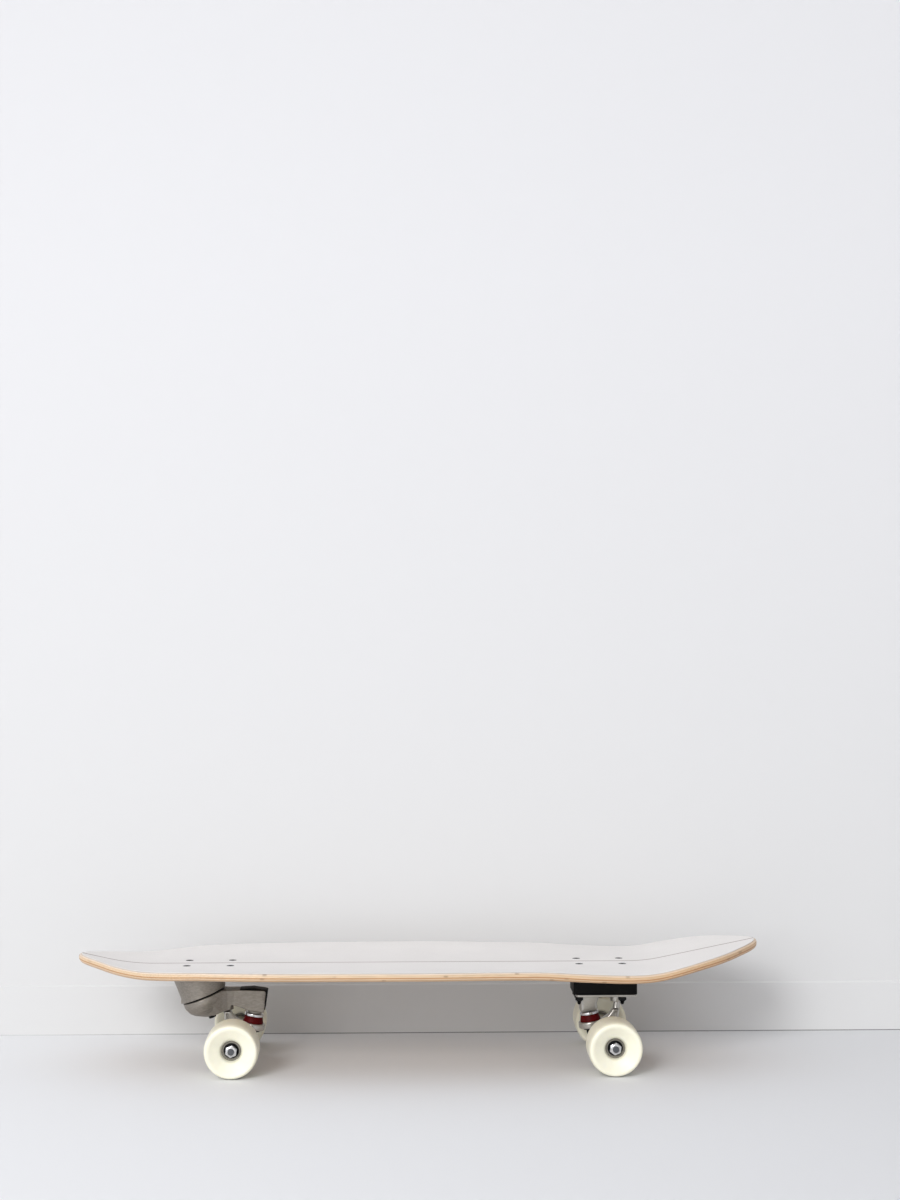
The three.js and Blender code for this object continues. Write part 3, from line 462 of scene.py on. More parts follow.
def board_sheet(rail, low, high):
    """Closed sheet that follows the board.

    Its rail is a list of inset and height, from the top edge to the bottom edge. The sheet is a grid
    that is wrapped round the board: from the spine out along the top, over the rail and back below.
    """
    around, inward, spine_share = 320, 14, 0.86
    shares = [i / inward for i in range(inward)]
    profile = [(share, *rail[0]) for share in shares] + [(1, *edge) for edge in rail]
    profile += [(share, *rail[-1]) for share in reversed(shares)]
    deselect_all()
    bpy.ops.mesh.primitive_grid_add(x_subdivisions=around, y_subdivisions=len(profile) - 1, size=1)
    sheet = bpy.context.object
    places = []
    depths = []
    for share, inset, height in profile:
        for i in range(around + 1):
            angle = math.tau * i / around
            x = -HALF_LENGTH * math.cos(angle)
            rim = Vector((x, math.copysign(half_width(x), math.sin(angle))))
            spine = Vector((spine_share * x, 0))
            edge = rim + (spine - rim).normalized() * inset
            point = spine + (edge - spine) * share
            places += [point.x * MM, point.y * MM, (height + board_height(*point)) * MM]
            depths.append((high - height) / (high - low))
    sheet.data.vertices.foreach_set("co", places)
    layer = sheet.data.attributes.new("ply_depth", "FLOAT", "POINT")
    layer.data.foreach_set("value", depths)
    take(sheet)
    bpy.ops.object.mode_set(mode="EDIT")
    return heal()


# Panel settings


def length_setting(name, description, default):
    return bpy.props.FloatProperty(
        name=name, description=description, default=default * MM, unit="LENGTH", precision=4
    )


def colour_setting(name, description, code):
    return bpy.props.FloatVectorProperty(
        name=name, description=description, default=linear(code), subtype="COLOR", size=3
    )


class SURFSKATE_PG_sizes(bpy.types.PropertyGroup):
    """Sizes that a user would change."""

    rail_top: length_setting("Top rail radius", "Rounding of the deck's upper edge", 3.2)
    rail_bottom: length_setting("Bottom rail radius", "Rounding of the deck's lower edge", 4.2)
    wood: length_setting("Wood", "Thickness of the wooden board", 9.6)
    grip: length_setting("Grip", "Thickness of the grip sheet", 0.7)
    stringer: length_setting("Stringer", "Width of the line along the middle of the deck", 2.6)
    lip: length_setting("Wheel lip", "Rounding of the wheel's edge", 3.0)
    thread: length_setting("Thread", "Distance between the threads of an axle", 1.0)
    seam: length_setting("Riser edge", "Rounding of the riser's edges", 0.5)


class SURFSKATE_PG_finishes(bpy.types.PropertyGroup):
    """Colours that a user would change."""

    grip: colour_setting("Grip", "Grip sheet", "#E2DFDD")
    stringer: colour_setting("Stringer", "Line along the deck", "#86726F")
    maple: colour_setting("Maple", "Pale plies of the rail", "#DCC3A3")
    bamboo: colour_setting("Bamboo", "Darker plies of the rail", "#BE956E")
    veneer: colour_setting("Veneer", "Outer plies of the deck", "#E4D4C3")
    urethane: colour_setting("Urethane", "Wheels", "#F3F0DC")
    bushing: colour_setting("Bushing", "Truck bushings", "#500204")
    casting: colour_setting("Grey casting", "Swing arm and adapter base", "#9C968E")
    truck: colour_setting("Truck casting", "Hangers and rear baseplate", "#BDBAB4")
    steel: colour_setting("Steel", "Nuts, washers and swing bearings", "#E2E2E4")
    axle: colour_setting("Axles", "Dull steel of the axles", "#5E6064")
    bearing: colour_setting("Bearings", "Steel of the wheels' bearings", "#8E8A80")
    black: colour_setting("Black parts", "Riser, cover and bolts", "#080809")


def sizes():
    return bpy.context.scene.surfskate_sizes


def finishes():
    return bpy.context.scene.surfskate_finishes


# Finishes


def laminated_maple():
    """Maple and bamboo plies under satin varnish: bands along the rail, with long grain in them."""
    material, add, shader = new_material("laminated_maple", Roughness=0.42, Coat_Weight=0.2)
    along = coordinate(add, "X")
    depth = add("Attribute", attribute_name="ply_depth", output="Fac")
    wavy = add("MapRange", noise_at(add, 60, (1, 1, 3)), 0, 1, -0.035, 0.035)
    plies = add("Math", depth, wavy, operation="ADD")
    bands = add("ValToRGB", plies)
    pale, dark, outer = finishes().maple, finishes().bamboo, finishes().veneer
    # Place over the thickness from the top, the share of bamboo, and the share of the outer veneer
    stops = [
        (0.0, 0, 1), (0.14, 0, 0.8), (0.2, 0.25, 0), (0.3, 0.3, 0), (0.36, 0, 0), (0.47, 0.1, 0),
        (0.53, 1.1, 0), (0.62, 1.3, 0), (0.67, 0.2, 0.1), (0.78, 0.2, 0.1), (0.83, 1.0, 0),
        (1.0, 0.5, 0.3),
    ]
    elements = bands.node.color_ramp.elements
    while len(elements) < len(stops):
        elements.new(0.5)
    for element, (stop, share, cover) in zip(elements, stops):
        element.position = stop
        colour = [p + (d - p) * share for p, d in zip(pale, dark)]
        element.color = (*[c + (o - c) * cover for c, o in zip(colour, outer)], 1)
    # Vessels of the wood are 0.3 mm wide and tens of millimetres long, and are drawn at 0.9 mm
    grain = noise_at(add, 0.9, (0.02, 1, 1), detail=4)
    wood = tinted(add, bands, add("MapRange", grain, 0.35, 0.7, 1.06, 0.84))
    # The wood is made darker and more yellow toward the tail
    tailward_tint = add("MapRange", along, 0.06, HALF_LENGTH * MM, 0, 0.8)
    layers = {0: tailward_tint, 6: wood, 7: linear("#EEDDC8")}
    wood = add("Mix", inputs=layers, output=2, data_type="RGBA", blend_type="MULTIPLY")
    # A bamboo cane has a node every 200 to 300 mm, which shows as a short dark mark across a strip
    strips, spacing = 4, 220 * MM
    row = add("Math", add("Math", plies, strips, operation="MULTIPLY"), operation="FLOOR")
    spaced = add("Math", along, 1 / spacing, row, operation="MULTIPLY_ADD")
    cane = {"W": spaced, "Scale": 1.0, "Randomness": 0.9}
    canes = add("TexVoronoi", inputs=cane, voronoi_dimensions="1D")
    # The marks are left out of some strips, and of the underside
    mark = add("MapRange", canes, 0.006, 0.016, 0.5, 0)
    for share in (
        add("MapRange", noise_at(add, 30, detail=1), 0.35, 0.55, 0, 1),
        add("MapRange", depth, 0.93, 0.98, 1, 0),
    ):
        mark = add("Math", mark, share, operation="MULTIPLY")
    layers = {0: mark, 6: wood, 7: [c * 0.42 for c in dark]}
    wood = add("Mix", inputs=layers, output=2, data_type="RGBA")
    relief = add("Bump", 0.5, 0.05 * MM, inputs={"Height": grain})
    link_to(shader, Base_Color=wood, Normal=relief)
    return material


def grip_coat():
    """Clear grit in lacquer over a pale print: matt, finely rough, with a line along the middle."""
    material, add, shader = new_material("grip_coat", Roughness=0.8)
    off = add("Math", coordinate(add, "Y"), operation="ABSOLUTE")
    half = sizes().stringer / 2
    line = add("MapRange", off, half * 0.7, half * 1.3, 1, 0)
    layers = {0: line, 6: finishes().grip, 7: finishes().stringer}
    printed = add("Mix", inputs=layers, output=2, data_type="RGBA")
    # Grit grains of 0.4 mm are drawn at 0.9 mm, so that they show
    grit = noise_at(add, 0.9, detail=2)
    speck = add("MapRange", grit, 0.3, 0.7, 0.95, 1.03)
    cloud = add("MapRange", noise_at(add, 70, detail=2), 0.3, 0.7, 0.98, 1.02)
    tone = add("Math", cloud, speck, operation="MULTIPLY")
    relief = add("Bump", 0.6, 0.12 * MM, inputs={"Height": grit})
    link_to(shader, Base_Color=tinted(add, printed, tone), Normal=relief)
    return material


def tumbled_casting(name, colour, spots, roughness, dents):
    """Aluminium cast in a mould and tumbled: mottled grey, dull or satin, with dents and rub marks."""
    material, add, shader = new_material(name, Metallic=0.85)
    cloud = noise_at(add, 9, detail=4, roughness=0.65)
    rubs = noise_at(add, 1.6, (0.35, 1, 1), detail=3)
    mottled = add("Math", cloud, rubs, rubs, operation="MULTIPLY_ADD")
    tone = add("MapRange", mottled, 0.55, 1.1, 1 - spots, 1 + spots)
    bright, dull = roughness - 0.6 * spots, roughness + 0.9 * spots
    small_dents = {"Height": noise_at(add, 0.8, detail=3)}
    link_to(
        shader,
        Base_Color=tinted(add, colour, tone),
        Roughness=add("MapRange", cloud, 0.3, 0.75, bright, dull),
        Normal=add("Bump", 0.55, dents * MM, inputs=small_dents),
    )
    return material


def plated_steel():
    """Zinc-plated steel as it leaves the lathe: bright, with fine turning marks."""
    material, add, shader = new_material("plated_steel", Metallic=1.0)
    marks = noise_at(add, 0.7, (1, 0.25, 1), detail=2)
    tone = add("MapRange", marks, 0.3, 0.7, 0.93, 1.04)
    link_to(
        shader,
        Base_Color=tinted(add, finishes().steel, tone),
        Roughness=add("MapRange", noise_at(add, 3), 0.3, 0.7, 0.2, 0.36),
        Normal=add("Bump", 0.3, 0.02 * MM, inputs={"Height": marks}),
    )
    return material


def black_oxide():
    """Steel blackened in a salt bath: near black, with a slight oily gloss."""
    material, add, shader = new_material("black_oxide", Metallic=0.6)
    tone = add("MapRange", noise_at(add, 2, detail=3), 0.3, 0.7, 0.8, 1.5)
    oily = add("MapRange", noise_at(add, 1.2), 0.3, 0.7, 0.3, 0.48)
    link_to(shader, Base_Color=tinted(add, finishes().black, tone), Roughness=oily)
    return material


def moulded_black(name="moulded_black", roughness=0.55):
    """Glass-filled nylon from a spark-eroded mould: matt black with a fine even texture."""
    material, add, shader = new_material(name, Roughness=roughness, Specular_IOR_Level=0.15)
    tone = add("MapRange", noise_at(add, 14, detail=2), 0.3, 0.7, 0.85, 1.25)
    texture = {"Height": noise_at(add, 0.6, detail=2)}
    relief = add("Bump", 0.5, 0.06 * MM, inputs=texture)
    link_to(shader, Base_Color=tinted(add, finishes().black, tone), Normal=relief)
    return material


def insert_nylon():
    """Undyed nylon of a nut's locking ring: pale grey and faintly cloudy."""
    material, add, shader = new_material("insert_nylon", Roughness=0.5)
    tone = add("MapRange", noise_at(add, 2), 0.3, 0.7, 0.62, 0.74)
    link_to(shader, Base_Color=tinted(add, linear("#FFFFFF"), tone))
    return material


def cast_urethane():
    """Soft cream urethane cast in a wheel mould: satin, faintly deep, with slight clouding."""
    material, add, shader = new_material(
        "cast_urethane",
        Roughness=0.42,
        Subsurface_Weight=0.12,
        Subsurface_Scale=0.004,
        Subsurface_Radius=(1.0, 0.85, 0.5),
        Coat_Weight=0.1,
        Coat_Roughness=0.3,
    )
    tone = add("MapRange", noise_at(add, 16, detail=2), 0.3, 0.7, 0.965, 1.02)
    skin = {"Height": noise_at(add, 1.1, detail=2)}
    relief = add("Bump", 0.4, 0.03 * MM, inputs=skin)
    link_to(shader, Base_Color=tinted(add, finishes().urethane, tone), Normal=relief)
    return material


def bushing_urethane():
    """Hard dark red urethane, poured and turned: half matt, deep in colour, with fine turning marks."""
    values = {"Roughness": 0.5, "Specular_IOR_Level": 0.1}
    material, add, shader = new_material("bushing_urethane", **values)
    tone = add("MapRange", noise_at(add, 6, detail=2), 0.3, 0.7, 0.85, 1.15)
    marks = {"Height": noise_at(add, 0.9, (1, 1, 0.2))}
    relief = add("Bump", 0.4, 0.03 * MM, inputs=marks)
    link_to(shader, Base_Color=tinted(add, finishes().bushing, tone), Normal=relief)
    return material


def one_sided(add, shader):
    """Lets the other views look through the back of a stage surface."""
    clear = add("BsdfTransparent")
    behind = add("NewGeometry", output="Backfacing")
    seen = add("MixShader", behind, shader.outputs[0], clear)
    tree = shader.id_data
    tree.links.new(seen, tree.nodes["Material Output"].inputs["Surface"])


def wall_paint():
    """Matt wall paint with painted light, a little lighter the higher it rises, and a painted shadow line
    along the floor.
    """
    material, add, shader = new_material("wall_paint", Roughness=0.9, Specular_IOR_Level=0.2)
    height = coordinate(add, "Z")
    # Painted light: the wall is darker near the floor and lighter higher up
    layers = {0: height, 6: linear("#D7D7D7"), 7: linear("#DEDEE0")}
    paint = add("Mix", inputs=layers, output=2, data_type="RGBA")
    # Painted shade: a dark line along the floor stands for the shadow in the gap at the skirting's foot,
    # fainter toward the lamp on the left
    share = add("MapRange", coordinate(add, "X"), -0.5, -0.1, 0.15, 0.75)
    line = add("MapRange", height, 0.7 * MM, 1.3 * MM, 1, 0)
    gap_shade = add("Math", share, line, operation="MULTIPLY")
    layers = {0: gap_shade, 6: paint, 7: linear("#2E2A26")}
    paint = add("Mix", inputs=layers, output=2, data_type="RGBA")
    link_to(shader, Base_Color=paint)
    one_sided(add, shader)
    return material


def floor_paint():
    """Smooth pale floor: satin, a little lighter on the side of the lamp."""
    material, add, shader = new_material("floor_paint", Roughness=0.75, Specular_IOR_Level=0.25)
    share = add("MapRange", coordinate(add, "X"), -0.6, 0.6, 0, 1)
    layers = {0: share, 6: linear("#E9EAEC"), 7: linear("#DADBDD")}
    paint = add("Mix", inputs=layers, output=2, data_type="RGBA")
    link_to(shader, Base_Color=paint)
    one_sided(add, shader)
    return material


# Parts that several operators use


def bolt_places(side):
    """Places of the four deck bolts of a truck."""
    return [centre_of(f"{side}_bolt_{i}") for i in range(1, 5)]


def drill(piece, side, cutter, height=0.0):
    """Cuts a hole for each deck bolt of a truck, with a cutter that is raised to a height."""
    for place in bolt_places(side):
        spot = Matrix.Translation((place.x, place.y, height * MM))
        cut(piece, copy_of(cutter, spot))
    discard(cutter)


def bore_for_kingpin(piece, place, top):
    """Cuts the hole of a kingpin and the pocket of its head, up to a height over the seat."""
    for radius, low in ((5.05, -4), (7.63, 17.9)):
        cut(piece, settle(rod(radius, low, top), place))


def thread_points(radius, start, end, pitch, depth):
    """Zigzag of a thread along a bar, as radius and height."""
    count = max(1, round(abs(end - start) / pitch))
    step = (end - start) / count
    points = []
    for i in range(count):
        points += [(radius - depth, start + step * (i + 0.5)), (radius, start + step * (i + 1))]
    return points


def lock_nut(flats, bore, height, taper=0.35):
    """Hexagonal nut with chamfered corners and the round collar of its nylon ring."""
    inner, corner = flats / 2, flats / math.sqrt(3)
    flat, shoulder, collar = inner - 0.1, height * 0.76, inner - taper
    drop = (corner - inner) * 0.6
    dome = turned(
        [(0, 0), (flat, 0), (corner, drop), (corner, shoulder - drop), (flat, shoulder), (0, shoulder)]
    )
    crown = turned(
        [
            (0, 0.5), (collar, 0.5), (collar, height - 0.7), (collar - 0.25, height - 0.2),
            (collar - 0.7, height), (bore + 1.0, height), (bore + 0.7, height - 0.35), (0, height - 0.35),
        ]
    )
    nut = keep_inside(hexagon(flats, 0, shoulder), dome)
    return cut(join(nut, crown), rod(bore, -1, height + 1))


# Build steps


class BuildStep(bpy.types.Operator):
    """Base of the operators, one for each step of the build"""

    bl_options = {"REGISTER", "UNDO"}


class SURFSKATE_OT_deck(BuildStep):
    """Wooden board and its grip sheet"""

    bl_idname = "surfskate.deck"
    bl_label = "Deck and grip"

    def execute(self, context):
        top, bottom = sizes().rail_top / MM, sizes().rail_bottom / MM
        low, high = DECK_BOTTOM, DECK_BOTTOM + sizes().wood / MM
        rail = [(top - x, high - top + y) for x, y in arc((0, 0), top, 90, 0, 6)]
        rail += [(bottom - x, low + bottom + y) for x, y in arc((0, 0), bottom, 0, -90, 8)]
        wood = board_sheet(rail, low, high)
        sheet_low = high + GAP
        sheet_high = sheet_low + sizes().grip / MM
        inset, corner, round_off = top + 0.2, 0.35, 0.1
        edge = [
            (inset + corner, sheet_high), (inset + round_off, sheet_high - round_off),
            (inset, sheet_high - corner), (inset, sheet_low),
        ]
        grip = board_sheet(edge, sheet_low, sheet_high)
        countersink = [(0, -30), (BOLT_HOLE, -30), (BOLT_HOLE, -3.3), (5.1, -0.9), (5.1, 3), (0, 3)]
        for piece in (wood, grip):
            for side in SIDES:
                drill(piece, side, turned(countersink), sheet_high)
        fit_out(wood, "laminated_deck", "board", "maple", "deck", angle=40)
        fit_out(grip, "grip_top", "board", "grip", "grip_sheet", angle=40)
        return {"FINISHED"}


class SURFSKATE_OT_bolts(BuildStep):
    """Countersunk deck bolts with their sockets, and the nuts under the rear baseplate"""

    bl_idname = "surfskate.bolts"
    bl_label = "Deck bolts"

    def execute(self, context):
        for side in SIDES:
            low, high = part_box(f"{side}_bolt_1")
            length = (high.z - low.z) / MM
            head = [(0, 0), (4.5, 0), (4.8, -0.25), (4.8, -0.6), (2.5, -3.0), (2.5, -8)]
            thread = thread_points(2.5, -8, 2 - length, pitch=0.8, depth=0.3)
            bolt = turned([*head, *thread, (1.2, -length), (0, -length)], 40)
            cut(bolt, hexagon(3.2, -2.0, 1.0))
            self.copy_to_holes(bolt, side, high.z, UPRIGHT, "deck_bolt", "bolt")
        low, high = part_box("rear_nut_1")
        nut = lock_nut(9.5, 2.55, (high.z - low.z) / MM, taper=1.2)
        self.copy_to_holes(nut, "rear", high.z, UPSIDE_DOWN, "lock_nut", "nut")
        return {"FINISHED"}

    def copy_to_holes(self, blank, side, top, way, name, node):
        """Puts a copy in line with each bolt hole of a truck, its top at a height in metres."""
        for i, place in enumerate(bolt_places(side), 1):
            twin = copy_of(blank, Matrix.Translation((place.x, place.y, top)) @ way)
            fit_out(twin, f"{side}_{name}_{i}", "board", "oxide", f"{side}_{node}_{i}")
        discard(blank)


class SURFSKATE_OT_riser(BuildStep):
    """Tapered block between the deck and the rear baseplate"""

    bl_idname = "surfskate.riser"
    bl_label = "Riser"

    def execute(self, context):
        length, width, foot_width, corner = 79.6, 57, 55, 3.5
        low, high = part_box("rear_riser")
        bottom, top = low.z / MM, high.z / MM
        riser = slab(round_rectangle(length, width, corner), bottom, top)
        for vertex in riser.data.vertices:
            if vertex.co.z < (low.z + high.z) / 2:
                vertex.co.y *= foot_width / width
        soften(riser, sizes().seam / MM, angle=60)
        settle(riser, Matrix.Translation(((low.x + high.x) / 2, 0, 0)))
        drill(riser, "rear", rod(BOLT_HOLE, bottom - 3, top + 3))
        fit_out(riser, "riser_block", "board", "black", "rear_riser")
        return {"FINISHED"}


class SURFSKATE_OT_baseplate(BuildStep):
    """Rear baseplate: a plate with the kingpin's boss and the pivot's boss"""

    bl_idname = "surfskate.baseplate"
    bl_label = "Rear baseplate"

    def execute(self, context):
        length, width, corner, offset, bottom, top = 75.5, 54, 4, 2.8, 48.3, 51.1
        plate = slab(round_rectangle(length, width, corner), bottom, top)
        settle(plate, at(offset))
        boss_top = 50.8
        boss = prism([(10.8, 28.9), (34, 25), (35.2, boss_top), (8.8, boss_top), (12.7, 37)], 22)
        soften(boss, 4.5, angle=60, segments=5)
        cup_boss = settle(rod(9.5, 39.5, boss_top, 64), PIVOT_LINE)
        rib = prism([(-6, 50), (12, 50), (12, 42), (-6, 46)], 3.2)
        join(plate, boss, cup_boss, rib)
        bore_for_kingpin(plate, SEAT, 30)
        cut(plate, settle(rod(7.8, 30, 49.5), PIVOT_LINE))
        settle(plate, TRUCK["rear"])
        drill(plate, "rear", rod(BOLT_HOLE, 60, 100))
        cast(plate, grain=0.5, rounds=6)
        fit_out(plate, "baseplate", "board", "truck", "rear_baseplate", angle=80)
        return {"FINISHED"}


class SURFSKATE_OT_hangers(BuildStep):
    """Cast hangers: axle housing, bushing ring, neck and pivot nose"""

    bl_idname = "surfskate.hangers"
    bl_label = "Hangers"

    def execute(self, context):
        half = 76.2
        housing = [(9.2, 12), (9.6, 20), (10.5, 34), (9.5, 60), (9.2, half)]
        hanger = settle(turned(both_ends(housing), 96), LYING)
        web = slab([(14, -12.5), (14, 12.5), (0, 37), (-3, 37), (-3, -37), (0, -37)], -5, 9)
        ball = settle(turned(arc((0, 0), 5, -90, 90, 24)), Matrix.Translation(PIVOT))
        join(hanger, self.collar(), self.neck(), web, self.nose(), ball)
        relief = settle(rod(12.5, -35, -15.6, 96), SEAT)
        cut(relief, settle(rod(10.2, -half, half, 96), LYING))
        cut(hanger, settle(rod(8.5, -30, -5, 96), SEAT), settle(rod(13.1, -13.3, -5, 96), SEAT), relief)
        cast(hanger, grain=0.6, rounds=18)
        cut(hanger, settle(rod(4.3, -half - 2, half + 2), LYING))
        for side, place in TRUCK.items():
            twin = copy_of(hanger, place)
            fit_out(twin, f"{side}_cast_hanger", f"{side}_truck", "truck", f"{side}_hanger", angle=80)
        discard(hanger)
        return {"FINISHED"}

    def collar(self):
        """Ring that holds the bushings."""
        top, bottom, corner, middle = -11.8, -20.4, 1.6, 14.0
        upper = arc((middle, top - corner), corner, 90, 0, 5)
        lower = arc((middle, bottom + corner), corner, 0, -90, 5)
        return settle(turned([(0, top), *upper, *lower, (0, bottom)], 96), SEAT)

    def neck(self):
        """Neck from the axle housing up to the pivot, hollowed on both faces."""
        outline = [
            (-15.6, 26), (-14.5, 18.9), (-12.6, 8.4), (-8.4, -1.7), (4.2, -3.8), (5.9, 5), (5.5, 16.8),
            (4.6, 18.1), (-2.1, 22.3), (-5, 26), (-6.7, 29.8), (-15.1, 29.8),
        ]
        pocket = [
            (-12.4, 27), (-10.2, 27), (-6.6, 20.5), (-1.6, 16), (1.6, 13), (1.6, 6), (-4, 5),
            (-8.8, 10), (-11.4, 18),
        ]
        neck = soften(prism(outline, 14), 2, angle=25, segments=4)
        for face in (-1, 1):
            cut(neck, settle(prism(pocket, 8), at(0, face * 8)))
        return neck

    def nose(self):
        """Tapered nose from the neck into the pivot cup."""
        foot = Vector((-11.7, 0, 27)) * MM
        way = (PIVOT - foot).to_track_quat("Z", "Y").to_matrix().to_4x4()
        outline = [(0, 0), (4.8, 0), (4.1, 12), (3.9, 15.4), (0, 15.4)]
        return settle(turned(outline), Matrix.Translation(foot) @ way)


class SURFSKATE_OT_axles(BuildStep):
    """Axles with threaded ends, and their lock nuts"""

    bl_idname = "surfskate.axles"
    bl_label = "Axles and nuts"

    def execute(self, context):
        end = size_of("front_axle").y / 2 / MM
        thread = thread_points(4.0, 94, end - 0.8, pitch=sizes().thread / MM, depth=0.35)
        axle = settle(turned(both_ends([(3.95, 60), (3.95, 94), *thread, (3.2, end)])), LYING)
        low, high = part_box("front_right_axle_nut")
        nut = lock_nut(13, 4.1, (high.y - low.y) / MM)
        nut_turn = math.radians(8)
        insert = turned_ring([(4.05, 5.3), (5.2, 5.3), (5.2, 6.7), (4.6, 6.9), (4.05, 6.9)])
        for side, middle in AXLE.items():
            body = f"{side}_truck"
            twin = copy_of(axle, Matrix.Translation(middle))
            fit_out(twin, f"{side}_threaded_axle", body, "axle", f"{side}_axle")
            for hand, sign in HANDS.items():
                name = f"{side}_{hand}"
                place = Matrix.Translation((middle.x, sign * low.y, middle.z))
                place = place @ Matrix.Rotation(-sign * math.pi / 2, 4, "X")
                place = place @ Matrix.Rotation(sign * nut_turn, 4, "Z")
                fit_out(copy_of(nut, place), f"{name}_lock_nut", body, "steel", f"{name}_axle_nut")
                fit_out(copy_of(insert, place), f"{name}_nylon_ring", body, "nylon")
        discard(axle, nut, insert)
        return {"FINISHED"}


class SURFSKATE_OT_kingpins(BuildStep):
    """Kingpins with their washers, bushings, nuts and pivot cups"""

    bl_idname = "surfskate.kingpins"
    bl_label = "Kingpins and bushings"

    def execute(self, context):
        bore = 5.05
        cup_washer = turned_ring(
            [
                (bore, -0.3), (10.6, -0.3), *arc((10.7, -1.3), 1.0, 90, 0, 5), (11.7, -3.5),
                (11.4, -3.7), (11.0, -3.6), (10.9, -1.6), (bore, -1.6),
            ]
        )
        cone = turned_ring(
            [
                (bore, -1.9), (10.2, -1.9), (10.55, -2.2), (10.55, -4.0), (11.25, -4.7), (11.9, -7.5),
                (12.6, -10.5), (12.7, -12.2), (12.2, -12.95), (bore, -13.0),
            ],
            96,
        )
        barrel = turned_ring(
            [
                (bore, -15.9), (9.4, -15.9), (9.9, -16.4), (10.1, -18.2), (9.9, -20.2), (9.4, -20.7),
                (bore, -20.7),
            ]
        )
        flat_washer = ring(10.2, bore, -22.6, -21.0, soft=0.35)
        nut = settle(lock_nut(14.2, 4.85, 7), at(0, 0, -22.9) @ UPSIDE_DOWN)
        pivot_cup = self.pivot_cup()
        # A bushing has the heights of its washer's side and of the ring's side
        parts = (
            (self.bolt(), "kingpin_bolt", "oxide", "kingpin", None),
            (cup_washer, "cup_washer", "steel", "top_cup_washer", None),
            (cone, "cone_bushing", "bushing", "top_bushing", (-1.9, -13.0)),
            (barrel, "barrel_bushing", "bushing", "lower_bushing", (-20.7, -15.9)),
            (flat_washer, "flat_washer", "oxide", "lower_washer", None),
            (nut, "kingpin_lock_nut", "oxide", "kingpin_nut", None),
        )
        for side, body in (("front", "swing"), ("rear", "board")):
            for blank, name, finish, node, ends in parts:
                bend = None
                if ends:
                    points = [KINGPIN[side] @ Vector((0, 0, height * MM)) for height in ends]
                    bend = (f"{side}_truck", *points)
                twin = copy_of(blank, KINGPIN[side])
                fit_out(twin, f"{side}_{name}", body, finish, f"{side}_{node}", bend=bend)
            twin = copy_of(pivot_cup, TRUCK[side])
            fit_out(twin, f"{side}_nylon_pivot_cup", body, "black", f"{side}_pivot_cup")
        discard(pivot_cup, *[part[0] for part in parts])
        return {"FINISHED"}

    def bolt(self):
        """Bolt that hangs from its hexagonal head, with a thread at its lower end."""
        thread = thread_points(4.75, -20, -31, pitch=1.3, depth=0.45)
        bolt = turned([(0, 23.2), (4.75, 23.2), (4.75, -20), *thread, (3.9, -32), (0, -32)])
        dome = turned([(0, 18.2), (7.33, 18.2), (7.33, 22.4), (6.2, 23.2), (0, 23.2)])
        return join(bolt, keep_inside(hexagon(12.7, 18.2, 23.2), dome))

    def pivot_cup(self):
        """Cup with a round inside, open below, in which the hanger's nose turns."""
        inside = arc((0, 42), 5.3, 0, 90, 10)[:-1]
        wall = [(0, 47.3), (0, 49.2), (6.9, 49.2), (7.5, 48.6), (7.5, 40.4), (7.1, 40)]
        return settle(turned_ring([(5.3, 40), *inside, *wall]), PIVOT_LINE)


class SURFSKATE_OT_adapter(BuildStep):
    """Cast adapter base under the nose, which holds the swing shaft"""

    bl_idname = "surfskate.adapter"
    bl_label = "Adapter base"

    def execute(self, context):
        length, width, corner, thickness = 80, 57, 8, 8
        top = RISER_TOP
        base = settle(rod(28, 0, 45, 128), SWING)
        post = settle(rod(27.5, 0, top, 128), Matrix.Translation((SWING_CENTRE.x - 1 * MM, 0, 0)))
        flange = slab(round_rectangle(length, width, corner), top - thickness, top)
        tail_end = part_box("adapter_base")[1].x
        settle(flange, Matrix.Translation((tail_end - length / 2 * MM, 0, 0)))
        join(base, post, flange)
        cut(base, large_cutter(top + LARGE / 2, SWING_CENTRE.x / MM))
        cut(base, settle(large_cutter(1 - LARGE / 2), SWING))
        for radius, low, high, steps in ((19, -1, 19.4, 96), (6.3, -1, 60, 48), (10, 22, 60, 96)):
            cut(base, settle(rod(radius, low, high, steps), SWING))
        cast(base, grain=0.6, rounds=5)
        drill(base, "front", rod(BOLT_HOLE, top - 19, top + 2))
        fit_out(base, "cast_adapter", "board", "casting", "adapter_base", angle=80)
        return {"FINISHED"}


